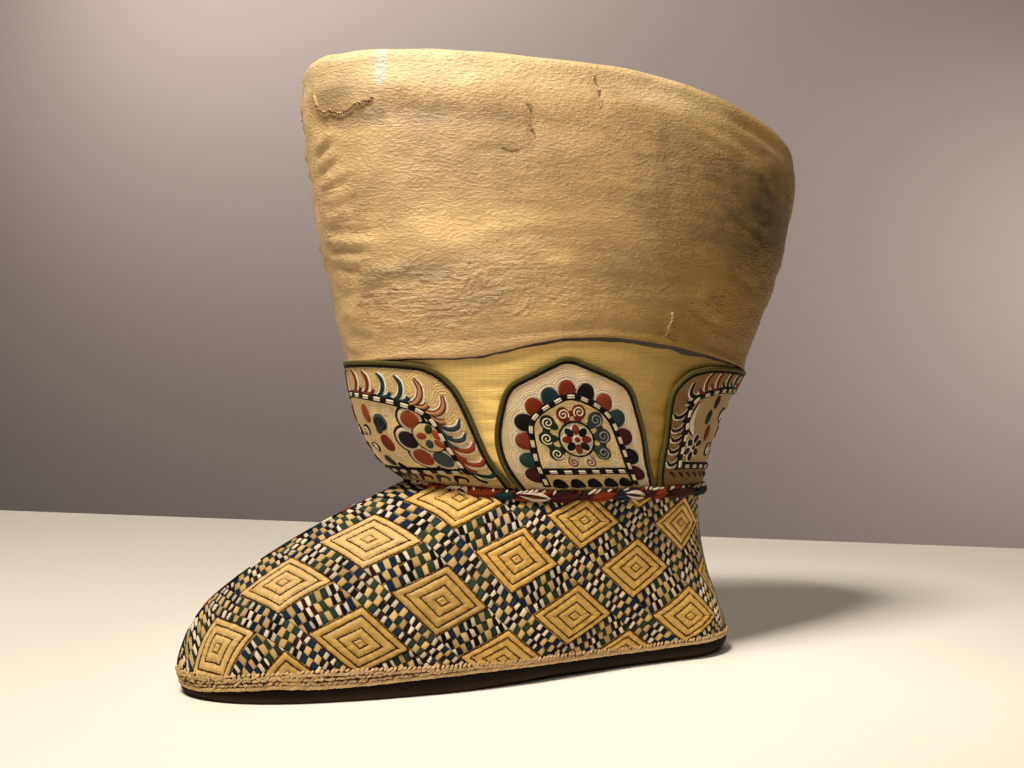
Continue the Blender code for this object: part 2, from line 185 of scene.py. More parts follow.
def frame_at(surface, turn, share):
    """Point, outward normal and upward tangent on a surface."""
    low = np.clip(np.asarray(share, float) - 0.01, 0, 1)
    high = np.clip(np.asarray(share, float) + 0.01, 0, 1)
    around = surface(turn + 2.0, share) - surface(turn - 2.0, share)
    up = surface(turn, high) - surface(turn, low)
    return surface(turn, share), unit(np.cross(around, up)), unit(up)


def raised(surface, turn, share, lift):
    point, normal, _ = frame_at(surface, turn, share)
    return point + normal * np.broadcast_to(lift, point.shape[:-1])[..., None]


# ---------------------------------------------------------------- colours and chance


def colour(red, green, blue):
    """An eight-bit screen colour as the linear one that shaders take."""
    c = np.array([red, green, blue]) / 255
    return np.where(c <= 0.04045, c / 12.92, ((c + 0.055) / 1.055) ** 2.4)


BLACK = colour(14, 7, 5)
CREAM = colour(240, 220, 186)
TAN = colour(212, 176, 112)
BLUE = colour(20, 38, 62)
GREEN = colour(44, 60, 48)
RED = colour(124, 46, 15)
MAROON = colour(62, 17, 18)
TEAL = colour(28, 54, 54)
GREY_BLUE = colour(58, 62, 62)
WORN_RED = colour(146, 66, 28)
WORN_TEAL = colour(66, 78, 74)
GREY_LINE = colour(146, 142, 128)
LEAF_TAN = colour(186, 136, 86)
ORANGE = colour(150, 62, 26)
LEAF_GREEN = colour(36, 50, 28)
PURPLE = colour(30, 14, 26)
PIPING_GREEN = colour(92, 84, 40)
DIAMOND_GOLD = colour(208, 160, 76)
# Diamond golds painted paler as highlight and darker as shade.
DIAMOND_PAINTED_HIGHLIGHT = colour(206, 165, 97)
DIAMOND_PAINTED_SHADE = colour(183, 142, 68)
LINE_BROWN = colour(62, 26, 12)
FIELD_YELLOW = colour(226, 196, 140)
STRIP_GOLD = colour(204, 172, 114)
# The back panel's ground colours, darkened as painted shade.
BACK_FIELD_SHADED = colour(168, 140, 98)
BACK_STRIP_SHADED = colour(134, 102, 60)
GROUND_GOLD = colour(104, 76, 40)
PANEL_CREAM = colour(222, 194, 152)
PALE_LINE = colour(240, 226, 196)
EDGE_BEIGE = colour(226, 188, 136)
# Dark brown painted on the strip under the edge stitches as the shade in the gaps between them.
EDGE_GAP_PAINTED_SHADE = colour(70, 42, 22)
SOLE_BROWN = colour(54, 40, 30)
# Black painted on the top of the sole's side, under the stitched edge, as shadow.
SOLE_PAINTED_SHADOW = colour(8, 5, 4)
BAND_GOLD = colour(212, 174, 98)
BAND_OLIVE = colour(156, 122, 46)
CUFF_TAN = colour(206, 169, 115)
CUFF_OLIVE = colour(136, 102, 36)
LINING = colour(150, 122, 80)


def smooth(t):
    t = np.clip(t, 0, 1)
    return t * t * (3 - 2 * t)


def folded_turn(turn):
    """The turn as seen on the near side."""
    return np.abs((np.asarray(turn, float) + 180) % 360 - 180)


def at_turns(table_of_pairs, turns):
    """A value read from (turn, value) pairs on either side of the boot."""
    return np.interp(folded_turn(turns), *zip(*table_of_pairs))


def soft_noise(x, y, seed, around=64):
    """Smooth noise from -1 to 1 with cells one unit wide; it repeats every `around` units of x."""
    table = np.random.RandomState(seed).uniform(-1, 1, (around, 64))
    x, y = np.broadcast_arrays(x, y)
    column, row = np.floor(x).astype(int), np.floor(y).astype(int)
    a, b = smooth(x - column), smooth(y - row)
    left, right, low, high = column % around, (column + 1) % around, row % 64, (row + 1) % 64
    bottom = table[left, low] * (1 - a) + table[right, low] * a
    top = table[left, high] * (1 - a) + table[right, high] * a
    return bottom * (1 - b) + top * b


def shaded(tint, amount):
    """A colour, or a row of them, made lighter or darker."""
    return np.clip(np.asarray(tint) * (1 + np.asarray(amount))[..., None], 0, 1)


# ---------------------------------------------------------------- meshes


def grid_faces(rows, columns, close_rows=False, close_columns=False):
    """Quads over points kept row by row; they face outwards when columns go round and rows go up."""
    row = np.arange(rows if close_rows else rows - 1)
    column = np.arange(columns if close_columns else columns - 1)
    row, column = [a.ravel() for a in np.meshgrid(row, column, indexing="ij")]
    above, beside = (row + 1) % rows, (column + 1) % columns
    return np.stack([row * columns + column, row * columns + beside,
                     above * columns + beside, above * columns + column], -1)


def add_piece(name, points, faces, tint, thread, materials, slot, replaces=(), second=None):
    """A shown piece: points in millimetres, quads and triangles, a colour and a thread distance for each."""
    points = np.asarray(points, float).reshape(-1, 3).copy()
    points[:, 1] += BACK_SHIFT
    faces = [np.asarray(f) for f in faces if len(f)]
    corners = np.concatenate([f.ravel() for f in faces]).astype(np.int32)
    sizes = np.concatenate([np.full(len(f), f.shape[1]) for f in faces])
    starts = np.concatenate([[0], np.cumsum(sizes)[:-1]]).astype(np.int32)
    mesh = bpy.data.meshes.new(name)
    mesh.vertices.add(len(points))
    mesh.vertices.foreach_set("co", (points * MM).astype(np.float32).ravel())
    mesh.loops.add(len(corners))
    mesh.loops.foreach_set("vertex_index", corners)
    mesh.polygons.add(len(sizes))
    mesh.polygons.foreach_set("loop_start", starts)
    mesh.update(calc_edges=True)
    mesh.validate()
    tints = np.ones((len(points), 4), np.float32)
    tints[:, :3] = np.broadcast_to(tint, (len(points), 3))
    mesh.attributes.new("tint", "FLOAT_COLOR", "POINT").data.foreach_set("color", tints.ravel())
    threads = np.broadcast_to(thread, len(points)).astype(np.float32)
    mesh.attributes.new("thread", "FLOAT", "POINT").data.foreach_set("value", threads)
    mesh.shade_smooth()
    for material in materials:
        mesh.materials.append(material)
    if second is not None:
        mesh.polygons.foreach_set("material_index", np.asarray(second, np.int32))
    piece = bpy.data.objects.new(name, mesh)
    bpy.context.scene.collection.objects.link(piece)
    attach(piece, "root")
    if replaces:
        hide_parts(*replaces)
    return piece


def add_wall(name, rows, first_inner, tint, thread, cloth, slot, node):
    """A closed wall of rows that go round the boot, lined from row `first_inner` on."""
    inner = np.repeat(np.arange(len(rows)) >= first_inner, len(rows[0]))
    faces = grid_faces(len(rows), len(rows[0]), True, True)
    return add_piece(name, np.concatenate(rows), [faces], tint, thread, [cloth, LINING_CLOTH], slot, [node],
                     inner)


class Heap:
    """Small shapes drawn flat (across, up, lift) that become one piece, wrapped onto the boot together."""

    def __init__(self):
        self.flat, self.tint, self.thread = [], [], []
        self.faces = {3: [], 4: []}
        self.count = 0

    def add(self, flat, faces, tint, thread):
        flat = np.asarray(flat, float).reshape(-1, 3)
        for group in faces:
            group = np.asarray(group)
            if len(group):
                self.faces[group.shape[1]].append(group + self.count)
        self.flat.append(flat)
        self.tint.append(np.broadcast_to(tint, flat.shape))
        self.thread.append(np.broadcast_to(thread, len(flat)))
        self.count += len(flat)

    def add_dome(self, rings, top, tint, thread):
        """Rings from the outside in, closed by a fan to the top; `thread` maps points to distances."""
        count, last = len(rings[0]), len(rings) * len(rings[0])
        fan = [[last - count + k, last - count + (k + 1) % count, last] for k in range(count)]
        flat = np.concatenate([*rings, [top]])
        self.add(flat, [grid_faces(len(rings), count, close_columns=True), fan], tint, thread(flat))

    def add_over(self, other, lift):
        """Adds another heap, lifted by some millimetres."""
        flat, faces, tint, thread = other.joined()
        self.add(flat + [0, 0, lift], faces, tint, thread)

    def joined(self):
        faces = [np.concatenate(f) for f in self.faces.values() if f]
        return np.concatenate(self.flat), faces, np.concatenate(self.tint), np.concatenate(self.thread)


def mirrored(points, faces, tint, thread):
    """The shapes with their mirror image on the far side."""
    count = len(points)
    faces = [np.concatenate([f, f[:, ::-1] + count]) for f in faces]
    points = np.concatenate([points, points * [-1, 1, 1]])
    return points, faces, np.concatenate([tint, tint]), np.concatenate([thread, thread])


def beads(centres, along, up, sizes, tint, rings=5, sides=6):
    """Rounded stitches, one at each centre, `sizes` their length, width and height."""
    bend = np.linspace(0, math.pi, rings)
    lengthwise = -np.cos(bend) * 0.5
    girth = np.sin(bend) ** 0.6 * 0.5
    girth[0] = girth[-1] = 0.08
    angle = np.arange(sides) * 2 * math.pi / sides
    local = np.stack([np.repeat(lengthwise, sides), np.outer(girth, np.cos(angle)).ravel(),
                      np.outer(girth, np.sin(angle)).ravel()], -1)
    centres, along, up = [np.asarray(a, float)[:, None] for a in (centres, along, up)]
    count, step = len(centres), rings * sides
    sizes = np.stack([np.broadcast_to(s, count) for s in sizes], -1)
    scaled = local[None] * sizes[:, None]
    points = (centres + scaled[..., :1] * along + scaled[..., 1:2] * unit(np.cross(up, along))
              + scaled[..., 2:] * up)
    last = (rings - 1) * sides
    caps = [[k, 0, (k + 1) % sides][::-1] for k in range(1, sides - 1)]
    caps += [[last, last + k, last + k + 1] for k in range(1, sides - 1)]
    offset = (np.arange(count) * step)[:, None, None]
    faces = [(group[None] + offset).reshape(-1, group.shape[1])
             for group in (grid_faces(rings, sides, close_columns=True), np.array(caps))]
    thread = np.tile(np.repeat(lengthwise, sides), count) * np.repeat(sizes[:, 0], step)
    return points.reshape(-1, 3), faces, np.repeat(np.broadcast_to(tint, (count, 3)), step, 0), thread


def tube(centres, out, radius, sides, closed=False):
    """Rings round a path, the radius free to change on the way: points, faces and each point's angle."""
    centres, out = np.asarray(centres, float), unit(np.asarray(out, float))
    ahead = np.roll(centres, -1, 0) - np.roll(centres, 1, 0) if closed else np.gradient(centres, axis=0)
    along = unit(ahead)
    side = unit(np.cross(along, out))
    out = np.cross(side, along)
    angle = np.arange(sides) * 2 * math.pi / sides
    if np.ndim(radius) < 2:
        radius = np.broadcast_to(radius, len(centres))[:, None]
    ring = out[:, None] * np.cos(angle)[None, :, None] + side[:, None] * np.sin(angle)[None, :, None]
    points = centres[:, None] + ring * np.broadcast_to(radius, (len(centres), sides))[..., None]
    faces = [grid_faces(len(centres), sides, close_rows=closed, close_columns=True)[:, ::-1]]
    if not closed:
        last = (len(centres) - 1) * sides
        caps = [[0, k, k + 1] for k in range(1, sides - 1)]
        caps += [[last, last + k + 1, last + k] for k in range(1, sides - 1)]
        faces.append(np.array(caps))
    return points.reshape(-1, 3), faces, np.tile(angle, len(centres))


def run_lengths(points):
    """Distance along a path at each of its points."""
    return np.concatenate([[0], np.cumsum(np.linalg.norm(np.diff(points, axis=0), axis=1))])


def read_path(at, length, points):
    """Places on a path at distances along it."""
    return np.stack([np.interp(at, length, column) for column in np.transpose(points)], -1)


def curve_through(points, count):
    """A smooth open curve through a few points, spaced evenly along its length."""
    points = np.asarray(points, float)
    knots = run_lengths(points)
    fine = np.linspace(0, knots[-1], 8 * count)
    if len(points) == 2:
        curve = points[0] + (points[1] - points[0]) * (fine / knots[-1])[:, None]
    else:
        ends = np.concatenate([[2 * points[0] - points[1]], points, [2 * points[-1] - points[-2]]])
        i = np.clip(np.searchsorted(knots, fine, side="right") - 1, 0, len(points) - 2)
        t = ((fine - knots[i]) / (knots[i + 1] - knots[i]))[:, None]
        a, b, c, d = ends[i], ends[i + 1], ends[i + 2], ends[i + 3]
        curve = 0.5 * (2 * b + (c - a) * t + (2 * a - 5 * b + 4 * c - d) * t ** 2
                       + (3 * b - a - 3 * c + d) * t ** 3)
    length = run_lengths(curve)
    return read_path(np.linspace(0, length[-1], count), length, curve)


# ---------------------------------------------------------------- materials


class Look:
    """A material in the making: nodes that read the piece's tint and thread and its own place."""

    def __init__(self, name, roughness, sheen=0.0, specular=0.5, tint=None):
        self.material = bpy.data.materials.new(name)
        self.material.use_nodes = True
        self.tree = self.material.node_tree
        self.shader = self.tree.nodes["Principled BSDF"]
        for key, value in (("Roughness", roughness), ("Sheen Weight", sheen), ("Sheen Roughness", 0.4),
                           ("Specular IOR Level", specular)):
            self.shader.inputs[key].default_value = value
        if tint is None:
            self.tint = self.node("Attribute", attribute_name="tint").outputs["Color"]
        else:
            self.tint = self.node("RGB").outputs[0]
            self.tint.default_value = (*tint, 1)

    def node(self, kind, inputs=(), **settings):
        """A node with its settings and its inputs, each a value or another node's output."""
        node = self.tree.nodes.new("ShaderNode" + kind)
        for key, value in settings.items():
            setattr(node, key, value)
        for key, value in dict(inputs).items():
            if isinstance(value, bpy.types.NodeSocket):
                self.tree.links.new(value, node.inputs[key])
            else:
                node.inputs[key].default_value = value
        return node

    def maths(self, operation, first, second=0.0):
        return self.node("Math", {0: first, 1: second}, operation=operation).outputs[0]

    def plus(self, first, second):
        return self.maths("ADD", first, second)

    def times(self, first, second):
        return self.maths("MULTIPLY", first, second)

    def place(self):
        return self.node("TexCoord").outputs["Object"]

    def level(self):
        """Height in millimetres."""
        return self.times(self.node("SeparateXYZ", {0: self.place()}).outputs["Z"], 1000)

    def thread(self):
        return self.node("Attribute", attribute_name="thread").outputs["Fac"]

    def stretched(self, stretch):
        return self.node("Mapping", {"Vector": self.place(), "Scale": stretch}).outputs[0]

    def noise(self, scale, detail, stretch=(1, 1, 1), roughness=0.5):
        """Noise fixed to the object, with about `scale` features to the metre."""
        return self.node("TexNoise", {"Vector": self.stretched(stretch), "Scale": scale, "Detail": detail,
                                      "Roughness": roughness}).outputs["Fac"]

    def ripple(self, source, pitch):
        """A wave from 0 to 1 that repeats every `pitch` units of its source."""
        return self.plus(self.times(self.maths("SINE", self.times(source, 2 * math.pi / pitch)), 0.5), 0.5)

    def finish(self, shades, bumps, roughness=None):
        """Shades multiply the tint by a factor from low to high; bumps lie over each other."""
        for low, high, by in shades:
            factor = self.node("MapRange", {"Value": by, "To Min": low, "To Max": high}).outputs[0]
            grey = self.node("CombineColor", {0: factor, 1: factor, 2: factor}).outputs[0]
            self.tint = self.node("Mix", {"Factor": 1.0, 6: self.tint, 7: grey}, data_type="RGBA",
                                  blend_type="MULTIPLY").outputs[2]
        below = {}
        for height, strength, distance in bumps:
            bump = self.node("Bump", {"Height": height, "Strength": strength, "Distance": distance * MM,
                                      **below})
            below = {"Normal": bump.outputs[0]}
        ends = {"Base Color": self.tint, **below, **({} if roughness is None else {"Roughness": roughness})}
        for key, output in ends.items():
            self.tree.links.new(output, self.shader.inputs[key])
        return self.material


def crepe_silk():
    """Worn silk of the cuff: level threads, slubs and lumps, and wrinkles where the thread value asks."""
    look = Look("cuff_silk", 0.55, sheen=0.05)
    wrinkled = look.thread()
    patches = look.noise(60, 4, (1, 1, 1.6))
    wander = look.times(look.noise(45, 3, (1, 1, 2.5)), 9)
    ribs = look.times(look.ripple(look.plus(look.level(), wander), 1.3), patches)
    slubs = look.noise(900, 4, (0.55, 0.55, 1.5), 0.65)
    lumps = look.maths("POWER", look.noise(700, 3, (0.7, 0.7, 1.4)), 4)
    wrinkles = look.times(look.noise(420, 2, (0.2, 0.2, 1.4)), wrinkled)
    figure = look.node("TexVoronoi", {"Vector": look.stretched((0.9, 0.9, 1.2)), "Scale": 190},
                       distance="CHEBYCHEV")
    return look.finish(
        [(0.84, 1.14, slubs), (0.86, 1.12, patches), (0.9, 1.1, figure.outputs["Color"]), (0.99, 1.04, ribs)],
        [(look.noise(2000, 2), 0.45, 0.35), (slubs, 0.6, 0.5), (ribs, 0.15, 0.25),
         (look.times(lumps, look.plus(wrinkled, 0.5)), 0.8, 2.2), (wrinkles, 0.7, 1.7)],
        look.plus(look.times(patches, 0.3), 0.32))


def damask():
    """Gold damask of the band: a faint woven grid and fine level threads."""
    look = Look("band_damask", 0.45, sheen=0.08, specular=0.45)
    level = look.level()
    warp = look.ripple(look.plus(look.thread(), look.times(look.noise(60, 2), 1.5)), 3.1)
    weft = look.ripple(look.plus(level, look.times(look.noise(50, 2), 4)), 2.3)
    slubs = look.noise(500, 3, (0.3, 0.3, 1.8))
    lines = look.maths("MAXIMUM", look.maths("POWER", warp, 4), look.maths("POWER", weft, 5))
    lines = look.times(lines, look.noise(80, 3, (1, 1, 2)))
    worn = look.noise(110, 3, (0.4, 0.4, 1.6))
    return look.finish([(0.86, 1.12, slubs), (0.86, 1.12, worn), (1.02, 0.88, lines)],
                       [(look.ripple(level, 0.7), 0.25, 0.2), (slubs, 0.4, 0.5), (lines, 0.25, 0.25)])


def floss(name, pitch, depth, sheen=0.02, roughness=0.55, dark=0.68, light=1.12):
    """Silk embroidery thread: ridges across the stitch, with painted shade in the grooves between the
    threads.
    """
    look = Look(name, roughness, sheen, specular=0.1)
    uneven = look.times(look.noise(700, 2), pitch * 0.8)
    threads = look.ripple(look.plus(look.thread(), uneven), pitch)
    fuzz = look.noise(1300, 3)
    return look.finish([(dark, light, threads), (0.85, 1.15, fuzz)],
                       [(fuzz, 0.3, 0.25), (threads, 0.7, depth)])


def plain_cloth(name, roughness, weave, depth):
    """Plain woven cotton or silk with a fine grain."""
    look = Look(name, roughness, sheen=0.2, specular=0.3)
    grain = look.noise(weave, 3)
    return look.finish([(0.8, 1.15, grain), (0.9, 1.1, look.noise(60, 3))], [(grain, 0.6, depth)])


def quilt_silk():
    """Gold silk of the padded diamonds, finely puckered, painted darker in the pucker hollows as shade and
    lighter on their crests as highlight.
    """
    look = Look("diamond_silk", 0.45, sheen=0.08, specular=0.4)
    puckers = look.noise(420, 4, (0.8, 0.8, 0.8), 0.65)
    return look.finish([(0.72, 1.2, puckers), (0.86, 1.1, look.noise(130, 3))],
                       [(look.noise(1600, 2), 0.25, 0.25), (puckers, 0.7, 1.3)])


def sole_leather():
    """Dark worn sole."""
    look = Look("sole_leather", 0.8, specular=0.08)
    grain = look.noise(900, 4)
    return look.finish([(0.6, 1.3, look.noise(40, 3)), (0.8, 1.2, grain)], [(grain, 0.6, 0.4)])


SILK = crepe_silk()
DAMASK = damask()
CELL_FLOSS = floss("checker_floss", 0.5, 0.35, sheen=0.0, dark=0.74)
LINE_FLOSS = floss("line_floss", 0.45, 0.25)
CORD_FLOSS = floss("cord_floss", 0.8, 0.5)
MOTIF_FLOSS = floss("motif_floss", 0.42, 0.3)
CONTOUR_GROUND = floss("contour_ground", 1.0, 0.4, roughness=0.5, dark=0.84, light=1.08)
EDGE_COTTON = floss("edge_cotton", 0.7, 0.5, sheen=0.1, roughness=0.75)
FOOT_GROUND = plain_cloth("foot_ground", 0.7, 900, 0.5)
LINING_CLOTH = plain_cloth("lining_cloth", 0.8, 700, 0.4)
DIAMOND_SILK = quilt_silk()
SOLE_LEATHER = sole_leather()


# ---------------------------------------------------------------- foot


LatticePlace = namedtuple("LatticePlace", "along down turn share")

# The diamonds lie on a skewed lattice: `along` climbs from the toe towards the ankle, `down` runs back
# towards the heel and the sole. Each row pins one place of the lattice to the foot's surface.
LATTICE = table(
    LatticePlace, (0, 0, 23, 0.28), (1, 0, 30, 0.57), (2, 0, 39, 0.75), (3, 0, 45.5, 0.95), (1, 1, 60, 0.28),
    (2, 1, 75, 0.47), (3, 1, 85, 0.66), (4, 1, 95, 0.85), (3, 2, 105, 0.33), (4, 2, 121, 0.57),
    (5, 2, 137, 0.81), (4, 3, 139, 0.23), (2.34, 1.68, 90, 0.297), (0.34, 0.68, 43.5, 0.268),
    (3.34, 2.68, 119, 0.203), (0.34, -0.32, 17, 0.42), (0.34, 0.32, 35, 0.352), (-0.34, -0.32, 15.5, 0.098),
    (-0.5, -0.58, 0.5, 0.2), (0, -0.68, 0.5, 0.37), (1, -0.7, 0.5, 0.6), (2, -0.7, 0.5, 0.79),
    (3, -0.66, 0.5, 0.96))
DIAMOND_ALONG = 0.342
DIAMOND_DOWN = 0.32
LATTICE_STEP = 37.0
LATTICE_SKEW = 0.41


class FootLattice:
    """Wraps lattice coordinates onto the near side of the foot."""

    def __init__(self):
        self.pins = np.array([(p.along, p.down) for p in LATTICE], float)
        places = foot_point(np.array([p.turn for p in LATTICE], float), np.array([p.share for p in LATTICE]))
        count = len(self.pins)
        sheet = np.hstack([np.ones((count, 1)), self.pins])
        bend = self.kernel(self.pins) + 0.05 * np.eye(count)
        system = np.block([[bend, sheet], [sheet.T, np.zeros((3, 3))]])
        self.weights = np.linalg.solve(system, np.vstack([places, np.zeros((3, 3))]))
        turns, shares = np.meshgrid(np.arange(-6, 187, 1.5), np.linspace(0, 1, 121))
        self.turns, self.shares = turns.ravel(), shares.ravel()
        self.tree = kdtree.KDTree(len(self.turns))
        for i, p in enumerate(foot_point(self.turns, self.shares)):
            self.tree.insert(p, i)
        self.tree.balance()

    def kernel(self, at):
        gap = np.linalg.norm(at[:, None] - self.pins[None], axis=-1)
        return np.where(gap > 0, gap * gap * np.log(gap + 1e-12), 0)

    def target(self, flat):
        """The smooth sheet through the pins, before it is laid on the foot."""
        return self.kernel(flat) @ self.weights[:-3] + self.weights[-3] + flat @ self.weights[-2:]

    def place(self, flat):
        """Turn and share for each (along, down)."""
        target = self.target(flat)
        nearest = np.array([self.tree.find(p)[1] for p in target])
        turn, share = self.turns[nearest].copy(), self.shares[nearest].copy()
        for _ in range(3):
            low, high = np.clip(share - 0.004, 0, 1), np.clip(share + 0.004, 0, 1)
            a = (foot_point(turn + 0.4, share) - foot_point(turn - 0.4, share)) / 0.8
            b = (foot_point(turn, high) - foot_point(turn, low)) / (high - low)[:, None]
            miss = target - foot_point(turn, share)
            aa, bb, ab, am, bm = [(p * q).sum(-1) for p, q in ((a, a), (b, b), (a, b), (a, miss), (b, miss))]
            scale = np.maximum(aa * bb - ab * ab, 1e-9)
            turn = np.clip(turn + np.clip((am * bb - bm * ab) / scale, -2, 2), -6, 186)
            share = np.clip(share + np.clip((bm * aa - am * ab) / scale, -0.02, 0.02), 0, 1)
        return turn, share

    def wrap(self, flat):
        turn, share = self.place(flat[:, :2])
        return raised(foot_point, np.clip(turn, 0.2, 179.8), share, flat[:, 2]), turn, share


FOOT_LATTICE = FootLattice()


def make_foot_cloth():
    """Ground cloth of the foot with its lining, as one closed wall."""
    turns = np.arange(180) * 2.0
    shares = np.linspace(0, 1, 46)
    rows = [raised(foot_point, turns, s, 0.0) for s in shares]
    rows += [raised(foot_point, turns, s, -FOOT_WALL) for s in shares[::-5]]
    arc = np.tile(turns * FOOT_ARC, len(rows))
    tint = shaded(GROUND_GOLD, 0.15 * soft_noise(arc / 6, np.concatenate(rows)[:, 2] / 5, 3))
    add_wall("foot_cloth", rows, len(shares) - 1, tint, arc, FOOT_GROUND, "foot_cloth", "foot_upper")


def padded_polygon(heap, corners, lift, height, tint, run, size):
    """A small raised cell over a convex outline, in lattice coordinates; its threads lie along axis `run`."""
    middle = corners.mean(0)
    rings = []
    for scale, rise in ((1.0, 0.0), (0.95, 0.5), (0.7, 0.87)):
        ring = middle + (corners - middle) * scale * size
        rings.append(np.column_stack([ring, np.full(len(corners), lift + height * rise)]))
    heap.add_dome(rings, [*middle, lift + height], tint, lambda flat: flat[:, run] * LATTICE_STEP)


def clip_polygon(corners, low, high):
    """The part of a polygon inside an upright box."""
    for axis in (0, 1):
        for limit, sign in ((low[axis], 1), (high[axis], -1)):
            kept = []
            for a, b in zip(corners, np.roll(corners, -1, 0)):
                inside_a, inside_b = sign * (a[axis] - limit) >= 0, sign * (b[axis] - limit) >= 0
                if inside_a:
                    kept.append(a)
                if inside_a != inside_b:
                    kept.append(a + (b - a) * (limit - a[axis]) / (b[axis] - a[axis]))
            if len(kept) < 3:
                return None
            corners = np.array(kept)
    return corners


def polygon_area(corners):
    x, y = corners[:, 0], corners[:, 1]
    return 0.5 * np.sum(x * np.roll(y, -1) - y * np.roll(x, -1))


CELL_ROWS = 3
# Colours along a checkered band: dark cell, light cell and the length of each of its three cells.
Zone = namedtuple("Zone", "dark light length")
ZONES = table(Zone, (BLUE, TAN, 0.097), (BLACK, CREAM, 0.0697), (GREEN, TAN, 0.097), (BLACK, CREAM, 0.0697))
CELLS = [zone for zone in ZONES for _ in range(3)]


def checkered_band(heap, low, high, run, blue, cycle, chance):
    """Satin cells of one band in a box of the lattice; a blue zone's middle is at `blue`."""
    cross = 1 - run
    row_size = (high[cross] - low[cross]) / CELL_ROWS
    cell_ends = np.cumsum([0.0] + [zone.length for zone in CELLS]) * cycle
    origin = blue - cell_ends[3] / 2
    slack = 0.6 * LATTICE_SKEW * (high[cross] - low[cross])
    first = math.floor((low[run] - slack - origin) / cycle) * len(CELLS)
    last = math.ceil((high[run] + slack - origin) / cycle) * len(CELLS)
    ends = np.array([origin + (k // len(CELLS)) * cycle + cell_ends[k % len(CELLS)]
                     for k in range(first, last + 1)])
    for row in range(CELL_ROWS):
        sway = chance.uniform(-0.16, 0.16, (2, len(ends))) * cell_ends[1]
        for k in range(len(ends) - 1):
            if ends[k + 1] < low[run] - slack or ends[k] > high[run] + slack:
                continue
            corners = []
            for side, end in ((0, 0), (0, 1), (1, 1), (1, 0)):
                jog = chance.uniform(-0.16, 0.16) if 0 < row + side < CELL_ROWS else 0.0
                out = (row + side + jog) * row_size
                corner = np.zeros(2)
                corner[cross] = low[cross] + out
                skew = LATTICE_SKEW * (out - CELL_ROWS * row_size / 2)
                corner[run] = ends[k + end] + sway[side, k + end] - skew
                corners.append(corner)
            corners = np.array(corners)
            if polygon_area(corners) < 0:
                corners = corners[::-1]
            kept = clip_polygon(corners, low, high)
            zone = CELLS[(first + k) % len(CELLS)]
            if kept is None or polygon_area(kept) < 0.22 * zone.length * cycle * row_size:
                continue
            dark = (row + first + k) % 2 == 0
            tint = shaded(zone.dark if dark else zone.light, chance.uniform(-0.35, 0.2))
            if dark and zone.dark is BLACK and chance.uniform() < 0.14:
                tint = MAROON * 0.7
            if dark or zone.dark is not BLACK:
                height = chance.uniform(0.45, 0.65) if dark else chance.uniform(0.7, 1.0)
                padded_polygon(heap, kept, 0.1, height, tint, run, 0.95 if dark else 0.94)
            else:
                padded_polygon(heap, kept, 0.05, 0.3, BLACK, run, 1.0)
                height = chance.uniform(0.6, 0.95)
                padded_polygon(heap, kept, 0.2, height, tint * 0.92, run, chance.uniform(0.78, 0.93))


# Where a blue zone lies and how long a repeat is, on each band down the lattice; then where a blue zone
# lies on each short band along it, from the middle of the diamond beside it.
DOWN_BANDS = {-1: (0.1, 0.65), 0: (0.24, 0.65), 1: (0.32, 0.65), 2: (0.64, 0.76), 3: (0.88, 0.745),
              4: (0.5, 0.745)}
ALONG_BANDS = {(0, 0): -0.05, (1, 0): -0.285, (2, 0): -0.16, (3, 0): 0.16, (2, 1): -0.17, (3, 1): -0.31,
               (4, 1): -0.22, (3, 2): -0.24, (4, 2): -0.30}


def make_checkers():
    """Satin-stitched checks between the diamonds."""
    chance = np.random.RandomState(11)
    heap = Heap()
    for i in range(-2, 7):
        low, high = (i + DIAMOND_ALONG, -1.3), (i + 1 - DIAMOND_ALONG, 4.6)
        checkered_band(heap, low, high, 1, *DOWN_BANDS.get(i, (0.4, 0.7)), chance)
        for j in range(-2, 5):
            low, high = (i - DIAMOND_ALONG, j + DIAMOND_DOWN), (i + DIAMOND_ALONG, j + 1 - DIAMOND_DOWN)
            checkered_band(heap, low, high, 0, i + ALONG_BANDS.get((i, j), -0.2), 0.67, chance)
    keep_on_foot("checker_stitching", heap, CELL_FLOSS)


SHEET_STRAY = 9


def keep_on_foot(name, heap, material):
    """Wraps a heap onto the foot, leaves out what falls off it and adds the far side."""
    flat, faces, tint, thread = heap.joined()
    points, turn, share = FOOT_LATTICE.wrap(flat)
    off = np.linalg.norm(points - FOOT_LATTICE.target(flat[:, :2]), axis=1) > SHEET_STRAY
    bad = off | (turn < 0.3) | (turn > 179.7) | (share < edge_span(turn)[0] + 0.006) | (share > 0.995)
    faces = [f[~bad[f].any(1)] for f in faces]
    used = np.unique(np.concatenate([f.ravel() for f in faces]))
    renumber = np.full(len(points), -1)
    renumber[used] = np.arange(len(used))
    faces = [renumber[f] for f in faces]
    made = mirrored(points[used], faces, tint[used], thread[used])
    return add_piece(name, *made, [material], "foot_cloth")


LINE_SCALES = (0.975, 0.735, 0.43, 0.14)
# Lattice places of the diamonds whose middle is on or near the foot.
DIAMONDS = [(i, j) for i in range(-1, 7) for j in range(0, 5)]
DIAMOND_REACH = np.array([DIAMOND_ALONG, DIAMOND_DOWN])


